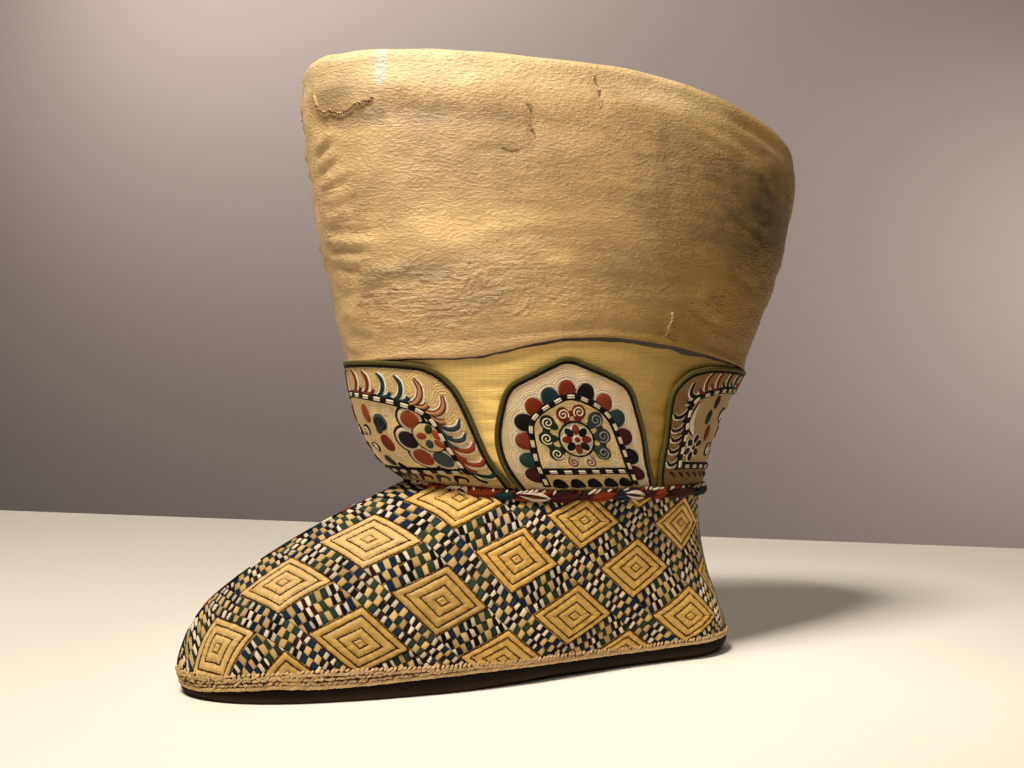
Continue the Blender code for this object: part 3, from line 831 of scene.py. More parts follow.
def make_diamonds():
    """Padded gold diamonds, ridged between their lines of stitching, painted darker as shade near the
    stitching and lighter as highlight on the ridges.
    """
    chance = np.random.RandomState(5)
    heap = Heap()
    scales, channel, arch = [], [], []
    for number, (outer, inner) in enumerate(zip((1.03,) + LINE_SCALES, LINE_SCALES + (0.0,))):
        rings = 6 if number else 2
        scales += list(np.linspace(outer, inner, rings + 1)[:-1])
        channel += [number] * rings
        arch += list(np.sin(np.linspace(0, math.pi, rings + 1)[:-1]) ** 0.7) if number else [0, 0]
    scales, arch = np.array(scales), np.array(arch)
    rise = 0.3 + 0.85 * arch + 0.25 * (1 - scales)
    rise[0] = -0.2
    edge = np.linspace(-1, 1, 17)[:-1]
    side = np.column_stack([edge, -np.ones(16)])
    square = np.concatenate([side, side[:, ::-1] * [-1, 1], -side, side[:, ::-1] * [1, -1]])
    count = len(square)
    for i, j in DIAMONDS:
        rings, light = [], []
        puckers = {key: chance.uniform(-1, 1, count) for key in range(6)}
        for scale, height, key, bulge in zip(scales, rise, channel, arch):
            wobble = 1 + 0.012 * chance.uniform(-1, 1, (count, 1)) * (scale < 0.99)
            pucker = (puckers[key] + 0.3 * chance.uniform(-1, 1, count)) * min(1, 3 * scale) * (scale < 0.99)
            ring = square * DIAMOND_REACH * scale * wobble + [i, j]
            rings.append(np.column_stack([ring, height + 0.18 * pucker]))
            # Painted light: darker as shade near the stitching and in the pucker hollows, lighter as
            # highlight on the ridges and the top.
            light.append(0.13 * pucker + 0.14 * bulge - 0.1)
        # The diamonds at the top of the toe are painted paler as highlight and those below them darker as
        # shade.
        gold = DIAMOND_GOLD if j > 1 or i > 2 else (DIAMOND_PAINTED_HIGHLIGHT, DIAMOND_PAINTED_SHADE)[j]
        tint = shaded(gold, chance.uniform(-0.05, 0.05) + np.concatenate(light + [[0.05]]))
        heap.add_dome(rings, [i, j, rise[-1] + 0.2], tint, lambda flat: flat[:, 0] * LATTICE_STEP)
    keep_on_foot("quilted_diamonds", heap, DIAMOND_SILK)


STITCH_SIZE = (2.1, 0.62, 0.55)
STITCH_PITCH = 1.8


def make_diamond_stitches():
    """Dark backstitches in a squared spiral on each diamond."""
    chance = np.random.RandomState(6)
    stitches = []
    for i, j in DIAMONDS:
        path = []
        for scale, following in zip(LINE_SCALES, LINE_SCALES[1:] + (0.0,)):
            corners = scale * DIAMOND_REACH * [(1, 1), (1, -1), (-1, -1), (-1, 1), (0.985, 0.985)]
            corners = [*corners, (0.35 * following + 0.65 * scale) * DIAMOND_REACH]
            corners = [corner + chance.uniform(-0.006, 0.006, 2) for corner in corners]
            for a, b in zip(corners, corners[1:]):
                pieces = max(int(math.hypot(*(b - a)) * LATTICE_STEP), 1)
                path.append([i, j] + a + (b - a) * (np.arange(pieces) / pieces)[:, None])
        path = np.concatenate(path)
        run = np.arange(len(path)) * 0.35
        path = path + 0.0045 * np.column_stack([soft_noise(run, i, 60), soft_noise(run, j, 61)])
        turn, share = FOOT_LATTICE.place(path)
        point, normal, _ = frame_at(foot_point, turn, share)
        good = np.linalg.norm(point - FOOT_LATTICE.target(path), axis=1) < SHEET_STRAY
        good &= (turn > 1) & (turn < 179) & (share > 0.05) & (share < 0.99)
        point = point + normal * 0.75
        length = run_lengths(point)
        spots = np.arange(STITCH_PITCH / 2, length[-1], STITCH_PITCH)
        centre, before, after = [read_path(spots + ahead, length, point) for ahead in (0, -0.8, 0.8)]
        nearest = np.clip(np.searchsorted(length, spots), 0, len(length) - 1)
        stitches.append([a[good[nearest]] for a in (centre, unit(after - before), normal[nearest])])
    centres, along, up = [np.concatenate(a) for a in zip(*stitches)]
    up = unit(up - along * (up * along).sum(-1, keepdims=True))
    made = mirrored(*beads(centres, along, up, STITCH_SIZE, LINE_BROWN, rings=4, sides=4))
    add_piece("diamond_stitches", *made, [LINE_FLOSS], "foot_cloth")


# The stitched edge: shares of the foot's height at its lower and upper side.
EdgeSpot = namedtuple("EdgeSpot", "turn low high")
EDGE = table(
    EdgeSpot, (0, 0.012, 0.122), (18, 0.01, 0.126), (30, 0.028, 0.132), (42, 0.045, 0.148),
    (52, 0.033, 0.152), (62, 0.037, 0.148), (72, 0.047, 0.136), (84, 0.055, 0.122), (100, 0.05, 0.112),
    (112, 0.042, 0.098), (122, 0.034, 0.084), (140, 0.036, 0.084), (180, 0.038, 0.088))
# Millimetres up the foot for a whole share, by the edge.
SHARE_MM = 62.5


def edge_span(turns):
    """Lower side of the stitched edge and its height, both as shares, on either side of the boot."""
    low, high = [at_turns([(spot.turn, spot[k]) for spot in EDGE], turns) for k in (1, 2)]
    return low, high - low


# The rows of the sole's side: height over the tread as a share, how far out and how far in at the back.
SOLE_ROWS = [(0.8, 1.2, 0.2), (0.5, 1.2, 1.2), (0.2, 0.7, 2.4), (0.04, -0.3, 3.4), (0.0, -1.6, 3.4),
             (0.0, -9.0, 0)]
SOLE_COLUMNS = 360
# Height of the tread over the floor, from the toe back: toe spring, forefoot, arch and heel.
TREAD = ([0, 16, 30, 112, 150, 188], [1.6, 0.35, 0.0, 0.0, 1.2, 0.0])


def make_sole():
    """Dark sole: its side tucks up under the stitched edge and its underside stands on heel and forefoot; the
    side is painted black as shadow where it lies under the edge.
    """
    turns = np.arange(SOLE_COLUMNS) * 360 / SOLE_COLUMNS
    low, _ = edge_span(turns)
    edge = raised(foot_point, turns, 0.0, 1.0) - raised(foot_point, turns, 0.0, 0.0)
    bottom = raised(foot_point, turns, 0.0, 0.0)
    tread = np.interp(bottom[:, 1], *TREAD)
    rows = [raised(foot_point, turns, low + 0.012, 0.5), raised(foot_point, turns, low, 1.15),
            raised(foot_point, turns, low * 0.4, 1.25)]
    tucked = smooth((folded_turn(turns) - 75) / 45)[:, None]
    for rise, out, tuck in SOLE_ROWS:
        row = bottom + edge * (out - tuck * tucked)
        row[:, 2] = tread + rise * (bottom[:, 2] - tread)
        rows.append(row)
    # The top rows, under the stitched edge, are painted black as shadow and fade to the brown leather below.
    shades = np.repeat([0.0, 0.0, 0.15, 0.4, 0.8, 1.0, 1.0, 1.0, 1.0], SOLE_COLUMNS)[:, None]
    points = np.concatenate(rows + [rows[-1].mean(0, keepdims=True)])
    tint = np.concatenate([SOLE_PAINTED_SHADOW * (1 - shades) + SOLE_BROWN * shades, SOLE_BROWN[None]])
    last = (len(rows) - 1) * SOLE_COLUMNS
    fan = np.array([[last + k, len(points) - 1, last + (k + 1) % SOLE_COLUMNS] for k in range(SOLE_COLUMNS)])
    side = grid_faces(len(rows), SOLE_COLUMNS, close_columns=True)[:, ::-1]
    add_piece("sole_leather", points, [side, fan], tint, 0.0, [SOLE_LEATHER], "sole", ["sole"])


EdgeRow = namedtuple("EdgeRow", "rise below_top pitch length width lean light loose last")
# Rows of stitches: millimetres over the edge's lower side, or under its top, the pitch and size of a stitch,
# its lean and shade, how uneven the row is and the turn where it ends.
EDGE_ROWS = table(
    EdgeRow, (0.75, False, 2.2, 4.6, 1.8, 0.06, 0.04, 0.15, 180),
    (0.7, True, 1.95, 2.1, 1.2, 0.9, 0.14, 1.0, 180), (1.9, True, 1.95, 2.3, 1.2, 0.35, 0.0, 1.0, 150),
    *[(rise, False, 2.05, 2.4, 1.35, 0.1, -0.04, 0.8, 100) for rise in (2.3, 3.9, 5.4)])


def edge_row(row, chance):
    """One row of stitches on the near side, where the edge has room for it."""
    def share_at(turns):
        low, span = edge_span(turns)
        return low + (span - row.rise / SHARE_MM if row.below_top else row.rise / SHARE_MM)

    dense = np.linspace(0, row.last, 1500)
    part = share_at(dense)
    lengths = run_lengths(raised(foot_point, dense, part, 1.2))
    spots = np.arange(row.pitch / 2, lengths[-1], row.pitch)
    spots = spots + row.pitch * chance.uniform(-0.16, 0.16, len(spots))
    turn = np.interp(spots, lengths, dense)
    if not row.below_top:
        turn = turn[edge_span(turn)[1] * SHARE_MM - row.rise > 1.5]
    knotty = np.interp(turn, [0, 22, 40, 60], [1.0, 1.0, 0.5, 0.25]) * row.loose
    centre, normal, up = frame_at(foot_point, turn, share_at(turn))
    count = len(turn)
    centre = centre + normal * (1.0 + 0.35 * chance.uniform(-1, 1, count) * knotty)[:, None]
    centre += up * ((0.15 * row.loose + 0.35 * knotty) * chance.uniform(-1, 1, count))[:, None]
    around = unit(np.cross(up, normal))
    slant = row.lean + chance.uniform(-1, 1, count) * (0.25 * row.loose + 0.8 * knotty)
    along = unit(around * np.cos(slant)[:, None] + up * np.sin(slant)[:, None])
    sizes = [size * chance.uniform(0.85, 1.12, count) for size in (row.length, row.width, row.width * 0.95)]
    tint = shaded(EDGE_BEIGE, row.light + chance.uniform(-0.2, 0.14, count))
    yellow = np.interp(turn, [0, 25, 45], [0.8, 0.8, 0.0])[:, None]
    tint = tint * (1 - yellow * [0.10, 0.11, 0.30])
    return centre, along, normal, np.stack(sizes, -1), tint


def make_edge_binding():
    """Beige edge of knotted stitches in rows, tall round the toe, over a padded strip painted dark as the
    shade between the stitches.
    """
    turns = np.arange(360) * 1.0
    low, span = edge_span(turns)
    rows = [raised(foot_point, turns, np.clip(low + span * part, 0, 1), lift)
            for part, lift in ((-0.02, 0.3), (0.0, 0.9), (0.2, 1.1), (0.6, 1.1), (0.84, 0.7), (0.9, 0.2))]
    arc = np.tile(turns * EDGE_ARC, len(rows))
    add_piece("edge_strip", np.concatenate(rows), [grid_faces(len(rows), 360, True, True)], EDGE_GAP_PAINTED_SHADE, arc,
              [EDGE_COTTON], "binding", ["sole_edge_binding"])
    chance = np.random.RandomState(21)
    rows = [edge_row(row, chance) for row in EDGE_ROWS]
    centre, along, normal, sizes, tint = [np.concatenate(a) for a in zip(*rows)]
    made = mirrored(*beads(centre, along, normal, sizes.T, tint, sides=5))
    add_piece("edge_stitches", *made, [EDGE_COTTON], "binding")


# ---------------------------------------------------------------- cords

CordZone = namedtuple("CordZone", "turn tint reach")
ANKLE_ZONES = table(
    CordZone, (0, MAROON, 9), (14, RED, 16), (38, RED, 14), (52, TEAL, 7), (60, RED, 11), (73, MAROON, 9),
    (87, RED, 8), (97, BLUE, 6), (103, MAROON, 8), (113, RED, 6), (121, MAROON, 16), (142, TEAL, 7),
    (150, MAROON, 16), (170, RED, 12))
# How far the ankle cord stands out of its groove and how low it lies there, in millimetres at each turn.
CORD_STAND = [(0, 0.2), (20, 0.6), (45, 1.5), (75, 1.9), (180, 1.7)]
CORD_DROP = [(0, 0.6), (30, 1.3), (60, 1.6), (100, 0.7), (180, 0.3)]


def ankle_path(turns):
    """Centre line of the ankle cord and its outward direction; it sinks into the fold at the front."""
    point, foot_normal, _ = frame_at(foot_point, turns, 1.0)
    _, band_normal, _ = frame_at(band_point, turns, 0.0)
    out = unit(foot_normal + band_normal)
    open_by = np.sum(out * foot_normal, axis=-1)
    stand, drop = at_turns(CORD_STAND, turns), at_turns(CORD_DROP, turns)
    return point + out * (stand / open_by)[:, None] - drop[:, None] * [0, 0, 1], out


def make_ankle_cord():
    """Cord of the ankle: a core wrapped in slanting threads."""
    turns = np.arange(1440) * 0.25
    centres, out = ankle_path(turns)
    length = run_lengths(centres)
    sides = 12
    angle = np.arange(sides) * 2 * math.pi / sides
    lay = length[:, None] * 1.1 + angle[None] * 1.6
    swell = (1 + 0.06 * soft_noise(length / 4, 0.5, 34, 200))[:, None]
    radius = 1.75 * (1 + 0.07 * np.sin(lay * 2.4)) * swell
    points, faces, _ = tube(centres, out, radius, sides, closed=True)
    tints = np.repeat(np.where((length % 7 < 4.6)[:, None], MAROON, PURPLE), sides, 0)
    tints = shaded(tints, 0.3 * soft_noise(lay.ravel() * 1.2, np.repeat(length, sides) / 9, 8))
    add_piece("wrapped_ankle_cord", points, faces, tints, lay.ravel(), [CORD_FLOSS], "ankle_cord",
              ["ankle_cord"])


def add_strand(heap, turn, around, stand, girth, tint):
    """A thread over the ankle cord, at an angle `around` the cord and a distance `stand` from its middle."""
    centre, out = ankle_path(turn)
    up = np.cross(out, unit(np.gradient(centre, axis=0)))
    path = centre + (out * np.cos(around)[:, None] + up * np.sin(around)[:, None]) * stand[:, None]
    points, faces, _ = tube(path, path - centre, girth, 6)
    heap.add(points, faces, tint, points[:, 1])


WRAP_STRANDS = 15
# The pale crossings: the turn of their middle and half their reach in degrees.
CROSSINGS = [(66.0, 6.5), (103.5, 5.5), (39.0, 2.6)]
CROSSING_STRANDS = 11


def make_cord_wraps():
    """Pointed wraps round the ankle cord: many slanting threads in a colour, thickest in the middle."""
    chance = np.random.RandomState(35)
    heap = Heap()
    t = np.linspace(-1, 1, 18)
    for zone in ANKLE_ZONES:
        for around in np.arange(WRAP_STRANDS) / WRAP_STRANDS * 2 * math.pi:
            middle = zone.turn + zone.reach / 2 + chance.uniform(-0.06, 0.06) * zone.reach
            turn = middle + t * (zone.reach * 0.62 + chance.uniform(-0.5, 0.5))
            turn = turn + zone.reach * 0.126 * math.sin(around)
            stand = 1.15 + 1.05 * np.sqrt(np.clip(1 - t * t, 0, 1)) + chance.uniform(-0.08, 0.08)
            girth = 0.50 * np.clip(1.1 - np.abs(t) ** 3, 0.25, 1)
            tint = shaded(zone.tint, chance.uniform(-0.35, 0.35))
            add_strand(heap, turn, around + t * 0.55, stand, girth, tint)
    add_piece("cord_wraps", *mirrored(*heap.joined()), [LINE_FLOSS], "ankle_cord")


def make_cord_crossings():
    """Pale threads crossed over the ankle cord in long lens shapes."""
    chance = np.random.RandomState(31)
    heap = Heap()
    t = np.linspace(-1, 1, 26)
    stand = 1.85 + 0.55 * np.sqrt(np.clip(1 - t * t, 0, 1))
    girth = 0.38 * np.clip(1.15 - np.abs(t) ** 4, 0.2, 1)
    for centre_turn, reach in CROSSINGS:
        for strand in range(CROSSING_STRANDS):
            turn = centre_turn + t * (reach - 0.12 * strand) + (strand - 5) * 0.14
            swing = (1 if strand % 2 else -1) * np.cos(t * math.pi / 2) * (0.12 + 0.075 * strand)
            swing = swing + chance.uniform(-0.06, 0.06) - t * 0.35
            tint = MAROON if strand < 2 else CREAM
            add_strand(heap, turn, swing, stand, girth, shaded(tint, chance.uniform(-0.4, -0.05)))
    add_piece("cord_crossings", *mirrored(*heap.joined()), [LINE_FLOSS], "ankle_cord")


def make_ankle_stitches():
    """Slanting pale and red stitches laid side by side on the ankle cord, below the panels."""
    chance = np.random.RandomState(33)
    turns = []
    while not turns or turns[-1] < 178:
        turns.append((turns[-1] if turns else 8.0) + chance.uniform(1.5, 3.2))
    turns = np.array(turns)
    point, _ = ankle_path(turns)
    _, normal, up = frame_at(band_point, turns, 0.03)
    around = unit(np.cross(up, normal))
    centre = point + up * 2.35 + normal * chance.uniform(0.7, 1.1, len(turns))[:, None]
    flat = chance.uniform(0, 1, len(turns)) < 0.55
    rise = np.where(flat, chance.uniform(-0.05, 0.25, len(turns)), chance.uniform(0.5, 1.1, len(turns)))
    along = unit(around + up * rise[:, None])
    normal = unit(normal - along * (normal * along).sum(-1, keepdims=True))
    lengths = np.where(flat, chance.uniform(3.2, 5.2, len(turns)), 2.6)
    pick = chance.uniform(0, 1, len(turns))[:, None]
    tint = np.where(pick < 0.62, CREAM, np.where(pick < 0.8, RED, np.where(pick < 0.9, MAROON, LEAF_GREEN)))
    tint = shaded(tint, chance.uniform(-0.35, 0.05, len(turns)))
    made = mirrored(*beads(centre, along, normal, (lengths, 1.15, 1.25), tint, rings=6, sides=5))
    add_piece("ankle_stitches", *made, [LINE_FLOSS], "ankle_cord")


def make_vamp_cord():
    """Thin cord over the vamp seam, wrapped in changing colours."""
    shares = np.linspace(0.13, 0.955, 560)
    point, normal, _ = frame_at(foot_point, np.zeros(560), shares)
    centres = point + normal * 0.5
    length = run_lengths(centres)
    sides = 10
    radius = 0.7 * (1 + 0.12 * np.abs(np.sin(length * math.pi / 0.75)))
    points, faces, _ = tube(centres, normal, radius, sides)
    palette = np.array([MAROON, BLACK, GREEN, CREAM, BLACK, RED, TEAL])
    pick = (length / 5).astype(int) % len(palette)
    tint = np.repeat(palette[pick], sides, 0)
    add_piece("wrapped_vamp_cord", points, faces, tint, np.repeat(length, sides), [CORD_FLOSS], "vamp_cord",
              ["vamp_seam_cord"])


# ---------------------------------------------------------------- band and cuff


# A crease runs from one place to another; a depth below zero makes it a ridge. A soft spot has a middle, a
# half width in degrees and a half height as a share.
Fold = namedtuple("Fold", "turn share to_turn to_share width depth")
Spot = namedtuple("Spot", "turn share wide high amount")
BAND_FOLDS = table(
    Fold, (59.5, 0.1, 63, 0.62, 3.4, -1.5), (57, 0.72, 66, 0.7, 1.6, 0.7), (58, 0.64, 66, 0.61, 1.3, 0.6),
    (58, 0.52, 64, 0.5, 1.1, 0.6), (58, 0.43, 63, 0.41, 1, 0.5), (58, 0.33, 62, 0.31, 1, 0.5),
    (50, 0.9, 70, 0.88, 3, 0.6), (109, 0.66, 117, 0.63, 1.3, -0.7), (110, 0.57, 116, 0.55, 1.3, 0.6),
    (110, 0.5, 117, 0.47, 1.1, -0.8), (111, 0.43, 117, 0.39, 1.2, 0.6), (112, 0.33, 117, 0.28, 1.1, -0.8),
    (112, 0.24, 117, 0.2, 1.2, 0.6), (112, 0.16, 117, 0.11, 1, -0.6), (106, 0.78, 109, 0.74, 1.2, -0.6))
# Painted light on the band: painted highlights on the cloth in the front gap between the panels and painted
# shade in the creases of the back gap.
BAND_PAINTED_LIGHT = table(
    Spot, (61, 0.32, 7, 0.3, 0.55), (64, 0.66, 8, 0.1, 0.16), (110, 0.5, 5, 0.3, -0.12))
BAND_COLUMNS = 300


def fold_depth(folds, surface, turn, point):
    """How deep the creases lie at the points of a surface; the far side mirrors the near one."""
    depth = 0.0
    near = np.where((turn % 360) > 180, -1.0, 1.0)[..., None] * [1, 0, 0] + [0, 1, 1]
    here = point * near
    for fold in folds:
        ends = (fold.turn, fold.share), (fold.to_turn, fold.to_share)
        a, b = [surface(np.array(end, float), rise) for end, rise in ends]
        reach = b - a
        t = np.clip(((here - a) @ reach) / (reach @ reach), 0, 1)
        gap = np.linalg.norm(here - a - t[..., None] * reach, axis=-1)
        fade = np.sqrt(np.clip(4 * t * (1 - t) + 0.1, 0, 1))
        depth = depth + fold.depth * fade * np.exp(-(gap / fold.width) ** 2)
    return depth


def make_band_cloth():
    """Gold damask wall of the band with its lining."""
    turns = np.arange(BAND_COLUMNS) * 1.2
    shares = np.linspace(0, 1, 52)
    rows = []
    for s in shares:
        relief = 0.25 * soft_noise(turns / 360 * 26, s * 9, 4, 26)
        relief = relief + 0.15 * soft_noise(turns / 360 * 60, s * 26, 6, 60)
        relief = relief - fold_depth(BAND_FOLDS, band_point, turns, band_point(turns, s))
        rows.append(raised(band_point, turns, s, relief))
    rows += [raised(band_point, turns, s, -BAND_WALL) for s in shares[::-5]]
    turn, share = np.tile(turns, len(rows)), np.repeat(np.concatenate([shares, shares[::-5]]), BAND_COLUMNS)
    arc, height = turn * BAND_ARC, np.concatenate(rows)[:, 2]
    # Darker and more olive towards the back: partly the damask's own olive, partly painted shade.
    backness = smooth((folded_turn(turn) - 70) / 60)[:, None]
    # The band's spots are painted highlights and painted shade.
    tint = shaded(BAND_GOLD * (1 - backness) + BAND_OLIVE * backness,
                  0.1 * soft_noise(arc / 25, height / 12, 9) + spots_at(BAND_PAINTED_LIGHT, turn, share, 0.4))
    add_wall("band_cloth", rows, len(shares) - 1, tint, arc, DAMASK, "band_cloth", "shaft_band")


CUFF_FOLDS = table(
    Fold,
    # under the rolled rim
    (34, 0.862, 58, 0.855, 6.5, 1.5), (58, 0.85, 84, 0.835, 6, 0.9), (6, 0.845, 30, 0.84, 4.5, 1.3),
    # pleats that run in from the front edge
    (8, 0.77, 19, 0.803, 2.2, -0.9), (6, 0.742, 18, 0.772, 2, 0.8), (9, 0.712, 22, 0.748, 1.9, -0.6),
    (5, 0.68, 20, 0.715, 2.2, 1), (9, 0.648, 26, 0.684, 2, -0.7), (8, 0.625, 24, 0.652, 1.9, 0.7),
    (12, 0.595, 28, 0.612, 2, -0.5), (9, 0.56, 26, 0.562, 2.2, 0.6), (12, 0.52, 29, 0.512, 2.6, 0.8),
    (8, 0.487, 29, 0.46, 3, 1.7), (6, 0.452, 29, 0.413, 2.3, -1.6), (7, 0.415, 24, 0.385, 2, 0.9),
    (5, 0.378, 22, 0.35, 1.7, -0.9), (10, 0.34, 22, 0.318, 2.2, 0.8), (8, 0.235, 18, 0.228, 2.4, 0.5),
    (6, 0.16, 16, 0.16, 3, -0.5), (8, 0.085, 22, 0.065, 2.6, 0.7), (4, 0.045, 14, 0.025, 2.4, -0.7),
    # dents of the worn side
    (44, 0.29, 54, 0.31, 5, 0.9), (25, 0.235, 33, 0.255, 3.5, 0.8), (60, 0.735, 72, 0.745, 2.4, 0.5),
    (74, 0.89, 75, 0.75, 2, 0.8), (87, 0.985, 88, 0.9, 2.2, 0.7), (99, 0.93, 101, 0.56, 3.4, 0.5),
    (107, 0, 107, 0.13, 2.2, -0.6), (104, 0.01, 109, 0.01, 3, 0.9),
    # drag lines below the rim at the back
    (106, 0.935, 128, 0.885, 2.6, 0.9), (112, 0.955, 134, 0.93, 2.2, -0.6), (117, 0.975, 140, 0.96, 2.4, 0.8),
    (104, 0.885, 120, 0.84, 2.4, 0.6), (118, 0.64, 136, 0.6, 3, -0.7), (120, 0.59, 138, 0.55, 2.6, 0.8),
    (116, 0.54, 130, 0.505, 2.8, -0.6), (112, 0.215, 126, 0.15, 2.6, -0.7),
    (110, 0.165, 124, 0.105, 2.4, 0.7), (122, 0.34, 138, 0.3, 3, 0.7), (128, 0.78, 150, 0.74, 3.4, 0.9),
    (140, 0.45, 165, 0.43, 3.4, 0.9), (150, 0.62, 175, 0.64, 3.4, 0.8))
# Where the silk is finely wrinkled; and where it is lighter or darker, partly from wear and stains and partly
# as painted light: a painted shadow under the rolled rim, painted shade falling off towards the back and
# painted highlights near the lower edge.
CUFF_WRINKLED = table(
    Spot, (45, 0.17, 22, 0.13, 1), (70, 0.22, 18, 0.1, 0.6), (26, 0.27, 10, 0.1, 0.9),
    (12, 0.62, 12, 0.16, 0.6), (20, 0.5, 12, 0.06, 0.7), (110, 0.55, 18, 0.36, 0.5),
    (84, 0.12, 12, 0.1, 0.35), (116, 0.18, 14, 0.1, 0.6), (150, 0.4, 22, 0.3, 0.4))
CUFF_WEAR_AND_PAINTED_LIGHT = table(
    Spot, (26, 0.84, 18, 0.035, -0.36), (54, 0.855, 24, 0.045, -0.26), (62, 0.75, 28, 0.13, -0.15),
    (33, 0.6, 14, 0.09, -0.14), (52, 0.46, 15, 0.08, 0.3), (68, 0.49, 12, 0.06, 0.26),
    (78, 0.33, 5, 0.035, 0.22), (88, 0.5, 8, 0.06, 0.1), (32, 0.44, 5, 0.03, 0.26),
    (44, 0.285, 13, 0.06, -0.34), (27, 0.25, 9, 0.09, -0.3), (10, 0.45, 10, 0.32, -0.14),
    (18, 0.925, 18, 0.075, -0.26), (78, 0.09, 18, 0.11, 0.2), (56, 0.14, 18, 0.07, -0.14),
    (98, 0.3, 16, 0.14, -0.14), (104, 0.56, 14, 0.28, -0.2), (106, 0.82, 18, 0.11, -0.2),
    (124, 0.64, 15, 0.3, -0.3), (142, 0.64, 20, 0.34, -0.42), (122, 0.18, 16, 0.14, 0.2),
    (24, 0.94, 26, 0.08, -0.12))
CUFF_STAIN = Spot(38.4, 0.975, 2.4, 0.045, 1.0)
STAIN = colour(150, 192, 194)
# Pale cream painted on the rolled rim as a highlight.
RIM_PAINTED_HIGHLIGHT = colour(232, 204, 152)
# Dark brown painted inside the gap under the cuff's lower edge as shadow.
HEM_GAP_PAINTED_SHADOW = colour(44, 30, 18)
# How far the lower edge of the cuff hangs over the band, in millimetres at each turn.
CUFF_HANG = [(0, 0.4), (20, 0.7), (30, 1.6), (40, 3.2), (50, 4.6), (60, 5.0), (70, 2.7), (80, 0.7),
             (100, 0.9), (115, 1.2), (140, 0.8), (180, 0.6)]
# How much higher than half round the rim is.
RIM_LOFT = [(0, 1.3), (25, 1.4), (45, 1.7), (85, 1.6), (110, 1.45), (130, 1.5), (150, 1.9), (180, 1.9)]
# How wide the dark gap below the lower edge stands open.
CUFF_GAP = [(0, 0.9), (40, 0.8), (70, 1.0), (88, 1.4), (98, 2.2), (107, 2.3), (109, 1.7), (114, 2.5),
            (122, 1.6), (135, 1.0), (180, 0.9)]
BAND_HEIGHT = 66
# Rows of the lower edge, from inside the gap out: how much of the overhang and how far out from the band.
HEM_ROWS = [(1.0, 0.1), (1.0, 0.35), (1.0, 0.5), (1.0, 1.2), (0.92, 1.4), (0.7, 1.5), (0.45, 1.5), (0.2, 1.4)]
CUFF_COLUMNS = 440


def cuff_relief(turn, share, point):
    """How far the padded cuff's cloth stands out from its even surface."""
    relief = 0.9 * soft_noise(turn / 360 * 12, share * 4, 41, 12) - 0.3
    relief += 0.26 * soft_noise(turn / 360 * 40, share * 17, 42, 40)
    relief += 0.09 * soft_noise(turn / 360 * 90, share * 58, 43, 90)
    return relief - fold_depth(CUFF_FOLDS, cuff_point, turn, point)


def spots_at(spots, turn, share, ragged_by=1.0):
    """All the soft spots together, each with a ragged edge."""
    turn = folded_turn(turn)
    ragged = 0.35 * soft_noise(turn / 3.2, share * 30, 48) + 0.2 * soft_noise(turn / 1.4, share * 70, 49)
    ragged = ragged * ragged_by
    total = 0.0
    for spot in spots:
        gap = np.hypot((turn - spot.turn) / spot.wide, (share - spot.share) / spot.high)
        total = total + spot.amount * smooth(1.25 + ragged - gap)
    return total


def rim_roll(turn):
    """How many millimetres the rim rolls inwards: most along the sides."""
    return 1.6 * at_turns([(12, 0), (42, 1), (100, 1), (125, 0.2), (180, 0.1)], turn)


def cuff_at(turn, share):
    """The cloth of the cuff: outward direction and the point with the relief."""
    point, normal, up = frame_at(cuff_point, turn, share)
    share = np.asarray(share, float)
    keep = smooth(share / 0.05 + 0.1) * smooth((1.02 - share) / 0.06)
    roll = rim_roll(turn) * smooth((share - 0.86) / 0.14) ** 2
    return point + normal * (cuff_relief(turn, share, point) * keep - roll)[..., None], normal, up


